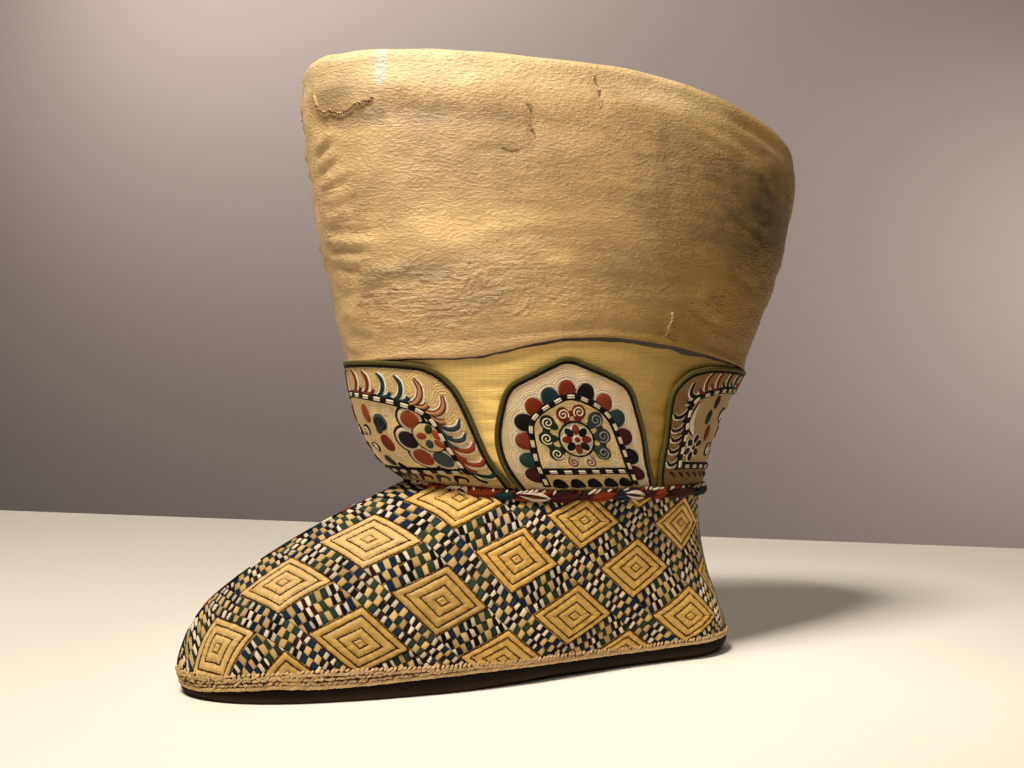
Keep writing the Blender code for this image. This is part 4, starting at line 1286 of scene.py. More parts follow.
def make_cuff():
    """Padded cuff of worn silk, its rim and its lining."""
    turns = np.arange(CUFF_COLUMNS) * 360 / CUFF_COLUMNS
    shares = np.concatenate([np.linspace(0, 0.36, 62), np.linspace(0.36, 1, 71)[1:]])
    gap = at_turns(CUFF_GAP, turns) * (1 + 0.35 * soft_noise(turns / 360 * 110, 2.5, 50, 110))
    hang = at_turns(CUFF_HANG, turns) + 0.35 * soft_noise(turns / 360 * 70, 0.5, 47, 70)
    rows, row_shares = [], []
    for part, lift in HEM_ROWS:
        low = 1 - (part * (hang + 1.0) + (gap if len(rows) < 2 else 0)) / BAND_HEIGHT
        rows.append(raised(band_point, turns, low, lift))
        row_shares.append(-0.01)
    for s in shares[1:]:
        rows.append(cuff_at(turns, s)[0])
        row_shares.append(s)
    first_inner = len(rows) + 9
    rim, normal, up = frame_at(cuff_point, turns, 1.0)
    roll = rim_roll(turns)[:, None]
    radius = (CUFF_WALL - roll) / 2
    rim = rim - normal * roll
    lofty = at_turns(RIM_LOFT, turns)[:, None]
    for bend in np.arange(15, 180, 15):
        angle = math.radians(bend)
        puff = 1 + 0.07 * soft_noise(turns / 360 * 48, bend / 40, 44, 48)[:, None]
        rows.append(rim - normal * radius
                    + radius * puff * (normal * math.cos(angle) + up * lofty * math.sin(angle)))
        row_shares.append(1.0)
    for s in np.linspace(1, 0, 16):
        relief = 0.5 * soft_noise(turns / 360 * 24, s * 9, 45, 24)
        rows.append(raised(cuff_point, turns, s, -CUFF_WALL + relief))
        row_shares.append(s)
    inner = np.repeat(np.arange(len(rows)) >= first_inner, CUFF_COLUMNS)
    turn = np.tile(turns, len(rows))
    share = np.repeat(row_shares, CUFF_COLUMNS)
    # Darker and more olive towards the back and the bottom: partly the silk's own olive, partly painted
    # shade.
    backness = smooth((folded_turn(turn) - 56) / 72)
    blend = np.clip(0.95 * backness * (1 - 0.3 * share) + 0.3 * (1 - share) ** 2, 0, 1)[:, None]
    tint = CUFF_TAN * (1 - blend) + CUFF_OLIVE * blend
    # Spots of wear and stains, together with painted shadow under the rim, painted shade at the back and
    # painted highlights.
    tint = shaded(tint, 0.08 * soft_noise(turn / 360 * 30, share * 9, 46, 30)
                  + 1.2 * spots_at(CUFF_WEAR_AND_PAINTED_LIGHT, turn, share, 0.45))
    stained = np.clip(spots_at([CUFF_STAIN], turn, share), 0, 0.85)
    # The rolled rim is blended towards pale cream, a painted highlight where light falls on it.
    worn = smooth((share - 0.915) / 0.05) * smooth((122 - folded_turn(turn)) / 26)
    worn = worn * (0.75 + 0.25 * soft_noise(turn / 5, share * 40, 51)) * 0.6
    for amount, other in ((stained[:, None], STAIN), (worn[:, None], RIM_PAINTED_HIGHLIGHT)):
        tint = tint * (1 - amount) + other * amount
    # The hem rows inside the gap under the lower edge are painted dark as shadow.
    tint[:CUFF_COLUMNS * 3] = HEM_GAP_PAINTED_SHADOW
    tint[inner] = LINING
    wrinkled = np.where(inner, 0, 0.12 + spots_at(CUFF_WRINKLED, turn, share))
    cuff = add_wall("padded_cuff", rows, first_inner, tint, wrinkled, SILK, "cuff_silk", "cuff")


Tear = namedtuple("Tear", "width lip path")
# Torn, worn through and sewn lines of the cuff: half width and height of the frayed lips in millimetres.
CUFF_TEARS = [
    Tear(0.65, 0.75, [(9, 0.99), (9.6, 0.945), (10.6, 0.905), (12.5, 0.882), (16, 0.866), (19, 0.868),
                      (23, 0.857), (28, 0.866), (31, 0.880), (34, 0.884), (36.5, 0.895)]),
    Tear(0.28, 0.35, [(73.6, 0.905), (74.2, 0.875), (74.0, 0.84), (74.8, 0.80), (75.0, 0.76)]),
    Tear(0.3, 0.35, [(67.5, 0.750), (69.5, 0.746), (71.0, 0.749)]),
    Tear(0.3, 0.35, [(86.6, 0.998), (87.2, 0.96), (87.6, 0.93), (87.9, 0.895)]),
    Tear(0.35, 0.4, [(107.2, 0.012), (106.8, 0.05), (107.3, 0.09), (107.0, 0.125)]),
]


# Across a tear: distance from its line in half widths, height in lips and shade. The shade darkens the gap
# between the lips, partly as the torn edge and partly as painted shadow, and lightens the lips a little as
# painted highlight.
FRAYED_EDGE = [(-1.6, -0.15, 0.0), (-0.7, 0.7, 0.06), (-0.25, 0.05, -0.42), (0.25, 0.0, -0.5),
               (0.7, 1.0, 0.12), (1.7, -0.15, 0.0)]


def make_cuff_tears():
    """Frayed lips along the worn lines of the cuff; the gap between them is dark, partly torn edge and partly
    painted shadow.
    """
    heap = Heap()
    cloth = CUFF_TAN * 0.86
    for number, tear in enumerate(CUFF_TEARS):
        path = curve_through(np.array(tear.path, float), max(12, len(tear.path) * 14))
        sway = np.arange(len(path)) / 2.2
        path = path + np.stack([0.55 * soft_noise(sway, 0.5, 80 + number),
                                0.006 * soft_noise(sway, 9.5, 81 + number)], -1)
        point, normal, _ = cuff_at(path[:, 0], path[:, 1])
        along = unit(np.gradient(point, axis=0))
        side = np.cross(normal, along)
        t = np.arange(len(path)) * 0.55
        ends = smooth(np.minimum(np.arange(len(path)), np.arange(len(path))[::-1]) / 3)
        deep = 1.0 if number == 0 else 0.4
        columns, tints = [], []
        for k, (out, lift, shade) in enumerate(FRAYED_EDGE):
            rough = soft_noise(t * (1.3 if k in (1, 4) else 0.7), k * 1.7 + 0.5, 60 + number)
            reach = tear.width * (out + 0.35 * rough) * (0.4 + 0.6 * ends)
            rise = tear.lip * lift * (1 + 0.8 * rough) * ends
            sunk = 0.1 if k in (0, 5) else 0
            columns.append(point + side * reach[:, None] + normal * (rise - sunk)[:, None])
            dark = shaded(np.broadcast_to(cloth, point.shape), shade * deep + 0.2 * rough)
            tints.append(dark * [1, 0.93, 0.82] if k in (2, 3) else dark)
        faces = grid_faces(len(FRAYED_EDGE), len(path))[:, ::-1]
        heap.add(np.concatenate(columns), [faces], np.concatenate(tints), 0.0)
    add_piece("cuff_tears", *mirrored(*heap.joined()), [SILK], "cuff_silk")


# ---------------------------------------------------------------- panels

# The side edges of the panels: shares of the panel's height, and half its width there in degrees.
SIDE_PANEL = (0.0, 0.30, 0.62, 0.80, 0.91, 1.0), (23.8, 22.6, 18.7, 15.5, 8.0, 1.2)
FRONT_PANEL = (0.0, 0.45, 0.75, 0.92, 1.0), (57.0, 54.5, 50.5, 45.0, 40.0)
BACK_PANEL = (0.0, 0.30, 0.75, 0.92, 1.0), (62.0, 61.0, 64.0, 60.0, 53.0)
SIDE_PANEL_TOP = 0.83
SIDE_PANEL_CENTRE = 88.0
SIDE_PANEL_LEAN = -6.0
FRONT_PANEL_TOP = 0.955
END_PANEL_DIP = 0.10
PANEL_DROP = -0.10


def side_spot(across, rise):
    """Turn and share of a place on the side panel; across runs -1 to 1 and rise 0 to 1."""
    half = monotone(*SIDE_PANEL, rise)
    share = PANEL_FOOT + (SIDE_PANEL_TOP - PANEL_FOOT) * rise
    turn = SIDE_PANEL_CENTRE + SIDE_PANEL_LEAN * share / SIDE_PANEL_TOP + across * half
    return np.broadcast_arrays(turn, share)


def end_spot(across, rise, edges, centre):
    """The same on the front or the back panel, whose top edge dips away from the middle."""
    half = monotone(*edges, rise)
    top = FRONT_PANEL_TOP - END_PANEL_DIP * np.abs(across) ** 2
    return np.broadcast_arrays(centre + across * half, PANEL_FOOT + (top - PANEL_FOOT) * rise)


def front_spot(across, rise):
    return end_spot(across, rise, FRONT_PANEL, 0.0)


def back_spot(across, rise):
    return end_spot(across, rise, BACK_PANEL, 180.0)


class Unrolled:
    """The band unrolled flat about a centre line: millimetres across it and up from the panel's foot."""

    def __init__(self, centre, lean=0.0):
        offsets = np.arange(-90, 90.5, 0.5)
        half = len(offsets) // 2
        self.shares = np.linspace(0, 1, 61)
        self.turns = (centre + lean * self.shares)[:, None] + offsets
        points = band_point(self.turns, self.shares[:, None])
        steps = np.linalg.norm(np.diff(points, axis=1), axis=2)
        arcs = np.hstack([np.zeros((len(steps), 1)), np.cumsum(steps, 1)])
        self.arcs = arcs - arcs[:, [half]]
        climb = run_lengths(points[:, half])
        self.heights = climb - np.interp(PANEL_FOOT, self.shares, climb)

    def by_rows(self, share, values, sources, targets):
        """Reads a table kept row by row of the share, blended between rows."""
        at = np.clip(share, 0, 1) * (len(self.shares) - 1)
        row = np.minimum(at.astype(int), len(self.shares) - 2)
        result = np.zeros_like(at)
        for r in np.unique(row):
            here = row == r
            low, high = [np.interp(values[here], sources[k], targets[k]) for k in (r, r + 1)]
            result[here] = low + (high - low) * (at[here] - r)
        return result

    def flat(self, turn, share):
        return self.by_rows(share, turn, self.turns, self.arcs), np.interp(share, self.shares, self.heights)

    def wrap(self, flat):
        share = np.interp(flat[:, 1], self.heights, self.shares)
        turn = self.by_rows(share, flat[:, 0], self.arcs, self.turns)
        return raised(band_point, turn, share, PANEL_FACE + flat[:, 2])


def stroke(heap, path, width, tint, height=0.6, spacing=0.45):
    """A raised line through a few places; its width is one number or a row from start to end."""
    path = np.asarray(path, float)
    length = run_lengths(path)[-1]
    count = max(int(length / spacing), 4) + 1
    curve = curve_through(path, count)
    along = unit(np.gradient(curve, axis=0))
    side = np.column_stack([-along[:, 1], along[:, 0]])
    widths = np.interp(np.linspace(0, 1, count), np.linspace(0, 1, np.size(width)), np.ravel(width))
    across = np.array([-1, -0.7, 0, 0.7, 1])
    arch = np.array([-0.15, 0.72, 1, 0.72, -0.15])
    lifts = height * np.minimum(1, widths / 0.8)
    flat = np.empty((count, 5, 3))
    flat[..., :2] = curve[:, None] + side[:, None] * (across[None, :, None] * widths[:, None, None] / 2)
    flat[..., 2] = arch[None] * lifts[:, None]
    distance = np.linspace(0, length, count)
    thread = distance[:, None] + across[None] * widths[:, None] * 0.3
    faces = grid_faces(count, 5)[:, ::-1]
    heap.add(flat.reshape(-1, 3), [faces], tint, thread.ravel())


def direction(degrees):
    return math.cos(math.radians(degrees)), math.sin(math.radians(degrees))


def blob(heap, across, up, long, wide, lean, tint, height=0.8, flat_end=1.0):
    """A domed patch of satin stitch; `lean` turns its long way from level, in degrees."""
    sides = 22
    angle = np.arange(sides) * 2 * math.pi / sides
    x, y = np.cos(angle), np.sin(angle)
    y = np.where(y < 0, y * flat_end, y)
    c, s = direction(lean)
    rings = []
    for scale, rise in ((1.0, -0.15), (0.96, 0.5), (0.8, 0.85), (0.5, 0.98), (0.2, 1.0)):
        a, b = x * long * scale, y * wide * scale
        lift = np.full(sides, height * rise)
        rings.append(np.column_stack([across + a * c - b * s, up + a * s + b * c, lift]))

    def along(flat):
        return (flat[:, 0] - across) * c + (flat[:, 1] - up) * s

    heap.add_dome(rings, [across, up, height], tint, along)


def ring(across, up, radius, start=0.0, sweep=360.0, count=24, squash=1.0):
    angle = np.radians(np.linspace(start, start + sweep, count))
    return np.column_stack([across + radius * np.cos(angle), up + radius * squash * np.sin(angle)])


def spiral(across, up, radius, start, turns, hand):
    """Places along a curl that winds in to its middle."""
    t = np.linspace(0, 1, int(18 * turns))
    angle = math.radians(start) + hand * t * turns * 2 * math.pi
    reach = radius * (1 - 0.86 * t)
    return np.column_stack([across + reach * np.cos(angle), up + reach * np.sin(angle)])


def dashed_band(heap, path, pitch=6.2, first=3.0):
    """Black border with pale dashes."""
    length = run_lengths(curve_through(path, 200))[-1]
    band, dashes = Heap(), Heap()
    stroke(band, path, 3.4, BLACK, 0.7, 0.6)
    heap.add_over(band, 0.25)
    fine = curve_through(path, 400)
    at = run_lengths(fine)
    for middle in np.arange(first, length - 1, pitch):
        ends = read_path(middle + np.array([-1.6, 0, 1.6]), at, fine)
        aside = np.array([ends[0, 1] - ends[2, 1], ends[2, 0] - ends[0, 0]]) / 3.2 * 0.4
        for half in (-1, 1):
            stroke(dashes, ends + aside * half, (0.75, 0.9, 0.75), CREAM, 0.75, 0.5)
    heap.add_over(dashes, 0.7)


def flipped(places, hand):
    return [(hand * across, up) for across, up in places]


def lean_to(hand, lean):
    """An angle on the +1 hand, as it is on either hand."""
    return lean if hand > 0 else 180 - lean


# Embroidery is placed in millimetres across a panel's middle line and up from its foot.
Lobe = namedtuple("Lobe", "across up tint")
Curl = namedtuple("Curl", "across up size tint line hand")

SIDE_BORDER = [(-19.2, -3.4), (-18.9, 8), (-18.6, 16), (-18, 26), (-14.5, 31.2), (-7.5, 35.6), (-1, 38.3),
               (4, 37.9), (9, 36), (14.6, 32.8), (19, 27.6), (21.2, 21), (22.6, 13.5), (23, 6.5),
               (22.4, -3.4)]
SIDE_LOBES = table(
    Lobe, (-23, 2.5, MAROON), (-22.8, 10, TEAL), (-23, 19, RED), (-22, 27.8, BLACK), (-16.6, 35.2, RED),
    (-9.2, 39.6, TEAL), (-1.1, 42.8, RED), (8, 40.6, BLACK), (16.4, 36.4, RED), (22.9, 29.6, TEAL),
    (25.6, 21, MAROON), (26.8, 11.5, BLACK), (26.3, 2.8, MAROON))
SIDE_ROUNDEL = (1.2, 19.7)
SIDE_CURLS = table(
    Curl, (-3.4, 30.6, 3.3, RED, CREAM, 1), (3.8, 31.6, 3.4, RED, CREAM, -1),
    (-10.6, 27.2, 3.5, LEAF_GREEN, CREAM, -1), (-12, 20.2, 3.5, LEAF_GREEN, CREAM, -1),
    (-8.8, 13.2, 3.5, LEAF_GREEN, CREAM, -1), (11.2, 28.2, 3.8, GREY_BLUE, GREY_LINE, 1),
    (13.8, 21, 3.8, GREY_BLUE, GREY_LINE, 1), (12.4, 13.4, 3.8, GREY_BLUE, GREY_LINE, 1),
    (-2.6, 9.2, 3.3, CREAM, RED, 1), (5, 9, 3.3, CREAM, RED, -1))


def flower(heap, across, up, reach, tints, petals=6):
    """Petals round a dot, each with a pale edge."""
    for k in range(petals):
        angle = 90 + k * 360 / petals
        c, s = direction(angle)
        place = (across + reach * 0.6 * c, up + reach * 0.6 * s)
        blob(heap, *place, reach * 0.38, reach * 0.30, angle, PALE_LINE, 0.35)
        blob(heap, *place, reach * 0.32, reach * 0.235, angle, tints[k % len(tints)], 0.7)
    blob(heap, across, up, reach * 0.27, reach * 0.27, 0, PALE_LINE, 0.75)
    blob(heap, across, up, reach * 0.2, reach * 0.2, 0, tints[0], 1.0)


def curl_patch(heap, curl, towards):
    """A round patch that leans towards a place, with a curl of thread worked on it."""
    size = curl.size
    lean = math.degrees(math.atan2(towards[1] - curl.up, towards[0] - curl.across))
    blob(heap, curl.across, curl.up, size, size * 0.93, lean, curl.tint, 0.55)
    c, s = direction(lean)
    x, y = curl.across + c * size * 0.7, curl.up + s * size * 0.7
    blob(heap, x, y, size * 0.8, size * 0.5, lean, curl.tint, 0.45)
    line = Heap()
    path = spiral(curl.across, curl.up, size * 0.74, lean + 40 * curl.hand, 1.6, curl.hand)
    stroke(line, path, 0.62, curl.line, 0.5, 0.4)
    heap.add_over(line, 0.5)


def border_lobe(heap, border, lobe, size=4.3):
    """A bell-shaped petal that stands on the dashed border, with pale lines that echo its edge."""
    fine = curve_through(border, 200)
    root = fine[np.argmin(np.hypot(fine[:, 0] - lobe.across, fine[:, 1] - lobe.up))]
    out = unit(np.array([lobe.across, lobe.up]) - root)
    lean = math.degrees(math.atan2(out[1], out[0])) - 90
    middle = root + out * 2.3
    for reach in (2.1, 0.8):
        stroke(heap, ring(*middle, size + reach, lean - 8, 196), 0.4 if reach > 1 else 0.55, PALE_LINE, 0.3)
    blob(heap, *middle, size * 0.93, size * 1.12, lean, lobe.tint, 0.8, flat_end=0.5)


def side_embroidery():
    heap, top = Heap(), Heap()
    for lobe in SIDE_LOBES:
        border_lobe(heap, SIDE_BORDER, lobe)
    for place in (-13.2, -5.4, 2.4, 10.2, 17.6):
        blob(heap, place, -3.6, 3.4, 4.2, 0, BLACK, 0.8, flat_end=0.15)
    dashed_band(heap, SIDE_BORDER)
    dashed_band(heap, [(-17.4, 4.6), (2, 4.4), (21.4, 4.2)], 6.3, 4.0)
    x, y = SIDE_ROUNDEL
    for curls, width in ((SIDE_CURLS[2:5], 3.4), (SIDE_CURLS[5:8], 3.4), (SIDE_CURLS[:2], 2.6)):
        stroke(heap, [(c.across, c.up) for c in curls], width, curls[0].tint, 0.4)
    for curl in SIDE_CURLS:
        curl_patch(heap, curl, SIDE_ROUNDEL)
    for place in ((-13, 8.6), (17.2, 8.4)):
        stroke(heap, spiral(*place, 2.3, 200, 2.0, 1), 0.5, PALE_LINE, 0.4)
    blob(heap, x, y, 7.7, 7.9, 0, FIELD_YELLOW, 0.62)
    stroke(top, ring(x, y, 7.8, count=40), 0.75, BLACK, 0.5)
    stroke(top, ring(x, y, 7.1, count=40), 0.4, PALE_LINE, 0.4)
    flower(top, x, y, 7.4, (RED, BLACK), petals=8)
    heap.add_over(top, 0.45)
    return heap


LeafPair = namedtuple("LeafPair", "along size tint outline", defaults=(None,))
FRONT_ARCH = [(0, 39.6), (8, 39.1), (16.4, 37.8), (25, 36), (33, 33.7), (38.2, 31.2), (41.3, 27.8),
              (42.4, 22.3), (42.7, 16), (43, 9.5), (42.6, 2.8)]
FRONT_LEAVES = table(
    LeafPair, (5.5, 10.5, RED), (13, 10.5, RED), (21, 10.5, TEAL), (28.8, 10.5, TEAL),
    (35.8, 11, LEAF_TAN, RED), (42, 11, LEAF_TAN, RED), (47, 11, GREY_BLUE), (51.5, 10.5, GREY_BLUE),
    (56, 12, ORANGE), (62, 12, ORANGE), (68, 12, LEAF_GREEN))
BACK_ARCH = [(0, 44.6), (20, 44), (32, 42.8), (42, 41.2), (52, 38.4), (57.6, 36), (59.2, 32.6), (57.6, 26.6),
             (54.4, 19.6), (52.4, 12), (50.4, 3.5)]
BACK_LEAVES = table(
    LeafPair, (6, 9, TEAL), (14, 9, RED), (22, 9, ORANGE), (30, 9, TEAL),
    (38, 9, BLACK), (46, 9.5, RED), (53.5, 9.5, RED), (59, 9, BLACK), (65, 9, BLACK),
    (71, 8.6, MAROON), (77, 8.6, MAROON), (83, 8.4, MAROON), (89, 8, LEAF_GREEN))


# Places along the long and the short leaf of a pair and their widths, as parts of the leaf's size.
LONG_LEAF = ([(-0.14, 0.06), (0.08, 0.26), (0.17, 0.52), (0.1, 0.8), (-0.14, 1.0)],
             (0.12, 0.18, 0.21, 0.17, 0.07))
SHORT_LEAF = [(0.0, 0.1), (0.2, 0.12), (0.4, 0.2), (0.5, 0.36)], (0.08, 0.12, 0.17, 0.2)


def leaf_pair(heap, arch, pair, hand):
    """A long curved leaf and a short round one that grow outwards from the arch."""
    fine = curve_through(arch, 300)
    base, ahead = read_path(pair.along + np.array([0, 2]), run_lengths(fine), fine)
    along = unit(ahead - base)
    out = np.array([-along[1], along[0]])
    for places, parts in (LONG_LEAF, SHORT_LEAF):
        path = flipped([base + along * a * pair.size + out * b * pair.size for a, b in places], hand)
        widths = np.array(parts) * pair.size
        if pair.outline is not None:
            stroke(heap, path, widths + 1.9, PALE_LINE, 0.25)
            stroke(heap, path, widths + 1.1, pair.outline, 0.55)
            stroke(heap, path, np.maximum(widths - 0.3, 0.3), pair.tint, 0.85)
        else:
            stroke(heap, path, widths + 1.3, PALE_LINE, 0.3)
            stroke(heap, path, widths + 0.2, pair.tint, 0.8)


def scallop(heap, centre, outer, hand):
    """A rosette: round petals with pale contour lines inside a dark scalloped outline."""
    x, y = hand * centre[0], centre[1]
    for wider, height, ground in ((3.1, 0.35, BLACK), (2.1, 0.6, PANEL_CREAM)):
        for px, py, size, tint in outer:
            blob(heap, hand * px, py, size + wider, size + wider, 0, ground, height)
    top, patches = Heap(), Heap()
    for px, py, size, tint in outer:
        stroke(top, ring(hand * px, py, size + 0.9), 0.4, PALE_LINE, 0.4)
        blob(top, hand * px, py, size + 0.6, size + 0.4, 0, tint, 0.6)
    blob(top, x, y, 6.4, 6.6, 0, FIELD_YELLOW, 0.65)
    stroke(top, ring(x, y, 6.5), 0.6, BLACK, 0.7)
    for dx, dy, lean, tint in ((1.6, 3.6, 60, LEAF_GREEN), (-2.6, 0.8, 10, ORANGE),
                               (-0.8, -2.8, 60, GREY_BLUE), (3.8, 1.2, 100, ORANGE),
                               (3.2, -2.8, 130, ORANGE)):
        blob(patches, hand * (centre[0] + dx), y + dy, 2.2, 1.55, lean_to(hand, lean), tint, 0.5)
    top.add_over(patches, 0.55)
    heap.add_over(top, 0.45)


def end_borders(heap, arch, foot):
    """The dashed arch over a front or back panel, and the dashed line along its foot."""
    dashed_band(heap, whole_arch(arch), 6.2, 2.6)
    dashed_band(heap, foot, 6.3, 3.4)


def whole_arch(half):
    return flipped(half[:0:-1], -1) + half


Patch = namedtuple("Patch", "across up long wide lean tint")
AimedCurl = namedtuple("AimedCurl", Curl._fields + ("aim",))
FRONT_SCALLOPS = [(32.0, 28.2, 3.4, WORN_RED), (27.4, 19.4, 3.6, PURPLE), (29.6, 11.4, 3.5, WORN_RED),
                  (37.6, 10.4, 3.4, WORN_TEAL)]
FRONT_MOTIFS = [
    Patch(9.7, 31.0, 4.2, 2.3, 98, WORN_RED),
    AimedCurl(16.6, 27.0, 4.0, GREY_BLUE, BLACK, 1, (12, 20)),
    Patch(15.6, 17.6, 4.0, 3.2, 95, RED),
    Patch(9.6, 8.6, 3.0, 2.0, 120, GREY_BLUE),
    AimedCurl(5.2, 23.6, 2.8, BLACK, CREAM, 1, (0, 20)),
    AimedCurl(6.0, 15.4, 2.6, BLACK, CREAM, -1, (0, 18)),
]
FRONT_TAIL = Patch(14.6, 5.4, 2.6, 1.2, 110, BLACK)
BACK_PATCHES = table(Patch, (40, 36, 3.2, 1.7, 80, MAROON), (36.5, 21, 4.2, 1.8, 75, RED))
BACK_CURLS = table(
    AimedCurl, (27, 31, 3.8, GREY_BLUE, CREAM, 1, (20, 22)), (28, 13, 3.6, LEAF_GREEN, CREAM, -1, (20, 20)),
    (12, 35, 3.6, RED, CREAM, -1, (0, 24)), (12, 11, 3.4, ORANGE, CREAM, 1, (0, 20)),
    (16.5, 22.5, 3.6, BLACK, CREAM, 1, (0, 23)))


def work_motifs(heap, motifs, hand):
    """Patches and curls of a front or back panel, on either hand."""
    for motif in motifs:
        x = hand * motif.across
        if isinstance(motif, Patch):
            blob(heap, x, motif.up, motif.long, motif.wide, lean_to(hand, motif.lean), motif.tint)
        else:
            curl = Curl(x, motif.up, motif.size, motif.tint, motif.line, hand * motif.hand)
            curl_patch(heap, curl, (hand * motif.aim[0], motif.aim[1]))


def front_embroidery():
    heap = Heap()
    for hand in (1, -1):
        for pair in FRONT_LEAVES:
            leaf_pair(heap, FRONT_ARCH, pair, hand)
        scallop(heap, (37.0, 20.6), FRONT_SCALLOPS, hand)
        work_motifs(heap, FRONT_MOTIFS, hand)
        stroke(heap, spiral(hand * 22.0, 32.4, 2.0, 200, 2.0, hand), 0.5, CREAM, 0.4)
        stroke(heap, spiral(hand * 17.6, 10.6, 2.0, 20, 2.0, -hand), 0.5, CREAM, 0.4)
        work_motifs(heap, [FRONT_TAIL], hand)
        for x, tint in ((4.5, BLACK), (12.5, GREY_BLUE), (20.5, MAROON), (28.5, GREY_BLUE), (36.5, BLACK)):
            hook = flipped([(x - 3.6, -3.4), (x - 1, 0.4), (x + 2.6, -0.6), (x + 1.6, -2.6)], hand)
            stroke(heap, hook, (0.8, 2.0, 1.4, 0.6), tint, 0.6)
    end_borders(heap, FRONT_ARCH, [(-40.5, 4.2), (-20, 3.6), (0, 3.4), (20, 3.6), (40.5, 4.2)])
    return heap


def back_embroidery():
    heap, top = Heap(), Heap()
    for hand in (1, -1):
        for pair in BACK_LEAVES:
            leaf_pair(heap, BACK_ARCH, pair, hand)
        leaf = flipped([(48.6, 19.5), (53, 25), (54.6, 30), (54.4, 35)], hand)
        stroke(heap, leaf, (1.4, 5.2, 5.6, 3.4, 1.2), BLACK, 0.5)
        stroke(heap, leaf, (0.4, 3.8, 4.2, 2.2, 0.4), CREAM, 0.85)
        blob(heap, hand * 41.5, 28.6, 3.6, 1.9, 95, LEAF_GREEN)
        work_motifs(heap, BACK_PATCHES, hand)
        flower(heap, hand * 44.5, 13.6, 7.0, (MAROON, PURPLE))
        work_motifs(heap, BACK_CURLS, hand)
        for k in range(9):
            x = 3 + 6 * k
            stroke(heap, flipped([(x, -0.2), (x + 1.6, 1.2), (x + 4.4, 2.2)], hand), (0.5, 1.3, 0.5),
                   BLACK if k % 2 else MAROON, 0.5)
    blob(heap, 0, 23, 8.6, 8.6, 0, PANEL_CREAM, 0.5)
    stroke(heap, ring(0, 23, 8.8, count=44), 0.75, BLACK, 0.7)
    flower(top, 0, 23, 7.4, (RED, BLACK))
    heap.add_over(top, 0.4)
    end_borders(heap, BACK_ARCH, [(-49, 5), (-25, 5), (0, 5), (25, 5), (49, 5)])
    return heap


def panel_ground(spot, columns, rows, unrolled, motifs):
    """The panel's cloth with stitched lines that echo the motifs; edges turn down to the band."""
    across = np.linspace(-1, 1, columns)
    rise = np.linspace(PANEL_DROP, 1, rows)
    across, rise = np.meshgrid(np.concatenate([[-1], across, [1]]), np.concatenate([[PANEL_DROP], rise, [1]]))
    turn, share = spot(across.ravel(), rise.ravel())
    lift = np.full(across.shape, PANEL_FACE)
    lift[0] = lift[-1] = lift[:, 0] = lift[:, -1] = 0.4
    u, v = unrolled.flat(turn, share)
    near = np.full(len(u), 1e9)
    for start in range(0, len(motifs), 400):
        part = motifs[start:start + 400]
        near = np.minimum(near, np.hypot(u[:, None] - part[:, 0], v[:, None] - part[:, 1]).min(1))
    return raised(band_point, turn, share, lift.ravel()), grid_faces(rows + 2, columns + 2), u, v, near


def inside_outline(u, v, outline):
    """Whether flat places lie inside a closed outline."""
    inside = np.zeros(len(u), bool)
    for (x0, y0), (x1, y1) in zip(outline, np.roll(outline, -1, 0)):
        crosses = (y0 > v) != (y1 > v)
        inside ^= crosses & (u < (x1 - x0) * (v - y0) / (y1 - y0 + 1e-12) + x0)
    return inside


def make_panel(name, spot, columns, rows, unrolled, heap, border, grounds, nodes, both_sides=False):
    """A panel's cloth and its embroidery; `grounds` are the colours inside and outside the dashed border."""
    flat, faces, tint, thread = heap.joined()
    points, quads, u, v, near = panel_ground(spot, columns, rows, unrolled, flat[::7, :2])
    ground = np.where(inside_outline(u, v, curve_through(border, 120))[:, None], *grounds)
    ground = shaded(ground, 0.12 * soft_noise(u / 6 + 40, v / 6 + 2, 27))
    # Below the lower dashed line the ground is painted darker as shade.
    ground = np.where(v[:, None] < 3.4, ground * [0.74, 0.68, 0.6], ground)
    made = (points, [quads], ground, near)
    worked = (unrolled.wrap(flat), faces, tint, thread)
    if both_sides:
        made, worked = mirrored(*made), mirrored(*worked)
    add_piece(name + "_cloth", *made, [CONTOUR_GROUND], "panel", nodes)
    add_piece(name + "_embroidery", *worked, [MOTIF_FLOSS], "panel")


def outline_path(spot, step=0.8):
    """Points, outward and up from the band round a panel's sides and top, evenly spaced."""
    climb, over, ends = np.linspace(PANEL_DROP, 1, 200), np.linspace(-1, 1, 200), np.ones(200)
    turn, share = spot(np.concatenate([-ends, over, ends]), np.concatenate([climb, ends, climb[::-1]]))
    point, normal, _ = frame_at(band_point, turn, share)
    length = run_lengths(point)
    even = np.arange(0, length[-1], step)
    point, normal = read_path(even, length, point), read_path(even, length, normal)
    padded = np.concatenate([point[[0, 0]], point, point[[-1, -1]]])
    smoothed = np.stack([np.convolve(padded[:, k], np.ones(5) / 5, "valid") for k in range(3)], -1)
    smoothed[[0, -1]] = point[[0, -1]]
    outward = np.cross(normal, unit(np.gradient(smoothed, axis=0)))
    if np.sum(outward * (smoothed - smoothed.mean(0))) < 0:
        outward = -outward
    return smoothed, outward, unit(normal), even


def make_piping(name, spot, nodes, both_sides=False):
    """The green cord round a panel and the black line inside it."""
    point, outward, normal, length = outline_path(spot)
    for ending, out, rise, radius, sides, turned, tint, stood_for in (
        ("_green", 1.75, 1.75, 1.0, 9, 0.5, PIPING_GREEN, nodes),
        ("_black", 0.25, 1.95, 0.6, 7, 0.0, BLACK, ()),
    ):
        points, faces, angle = tube(point + outward * out + normal * rise, normal, radius, sides)
        made = (points, faces, np.broadcast_to(tint, points.shape), np.repeat(length, sides) + angle * turned)
        if both_sides:
            made = mirrored(*made)
        add_piece(name + ending, *made, [CORD_FLOSS], "piping", stood_for)


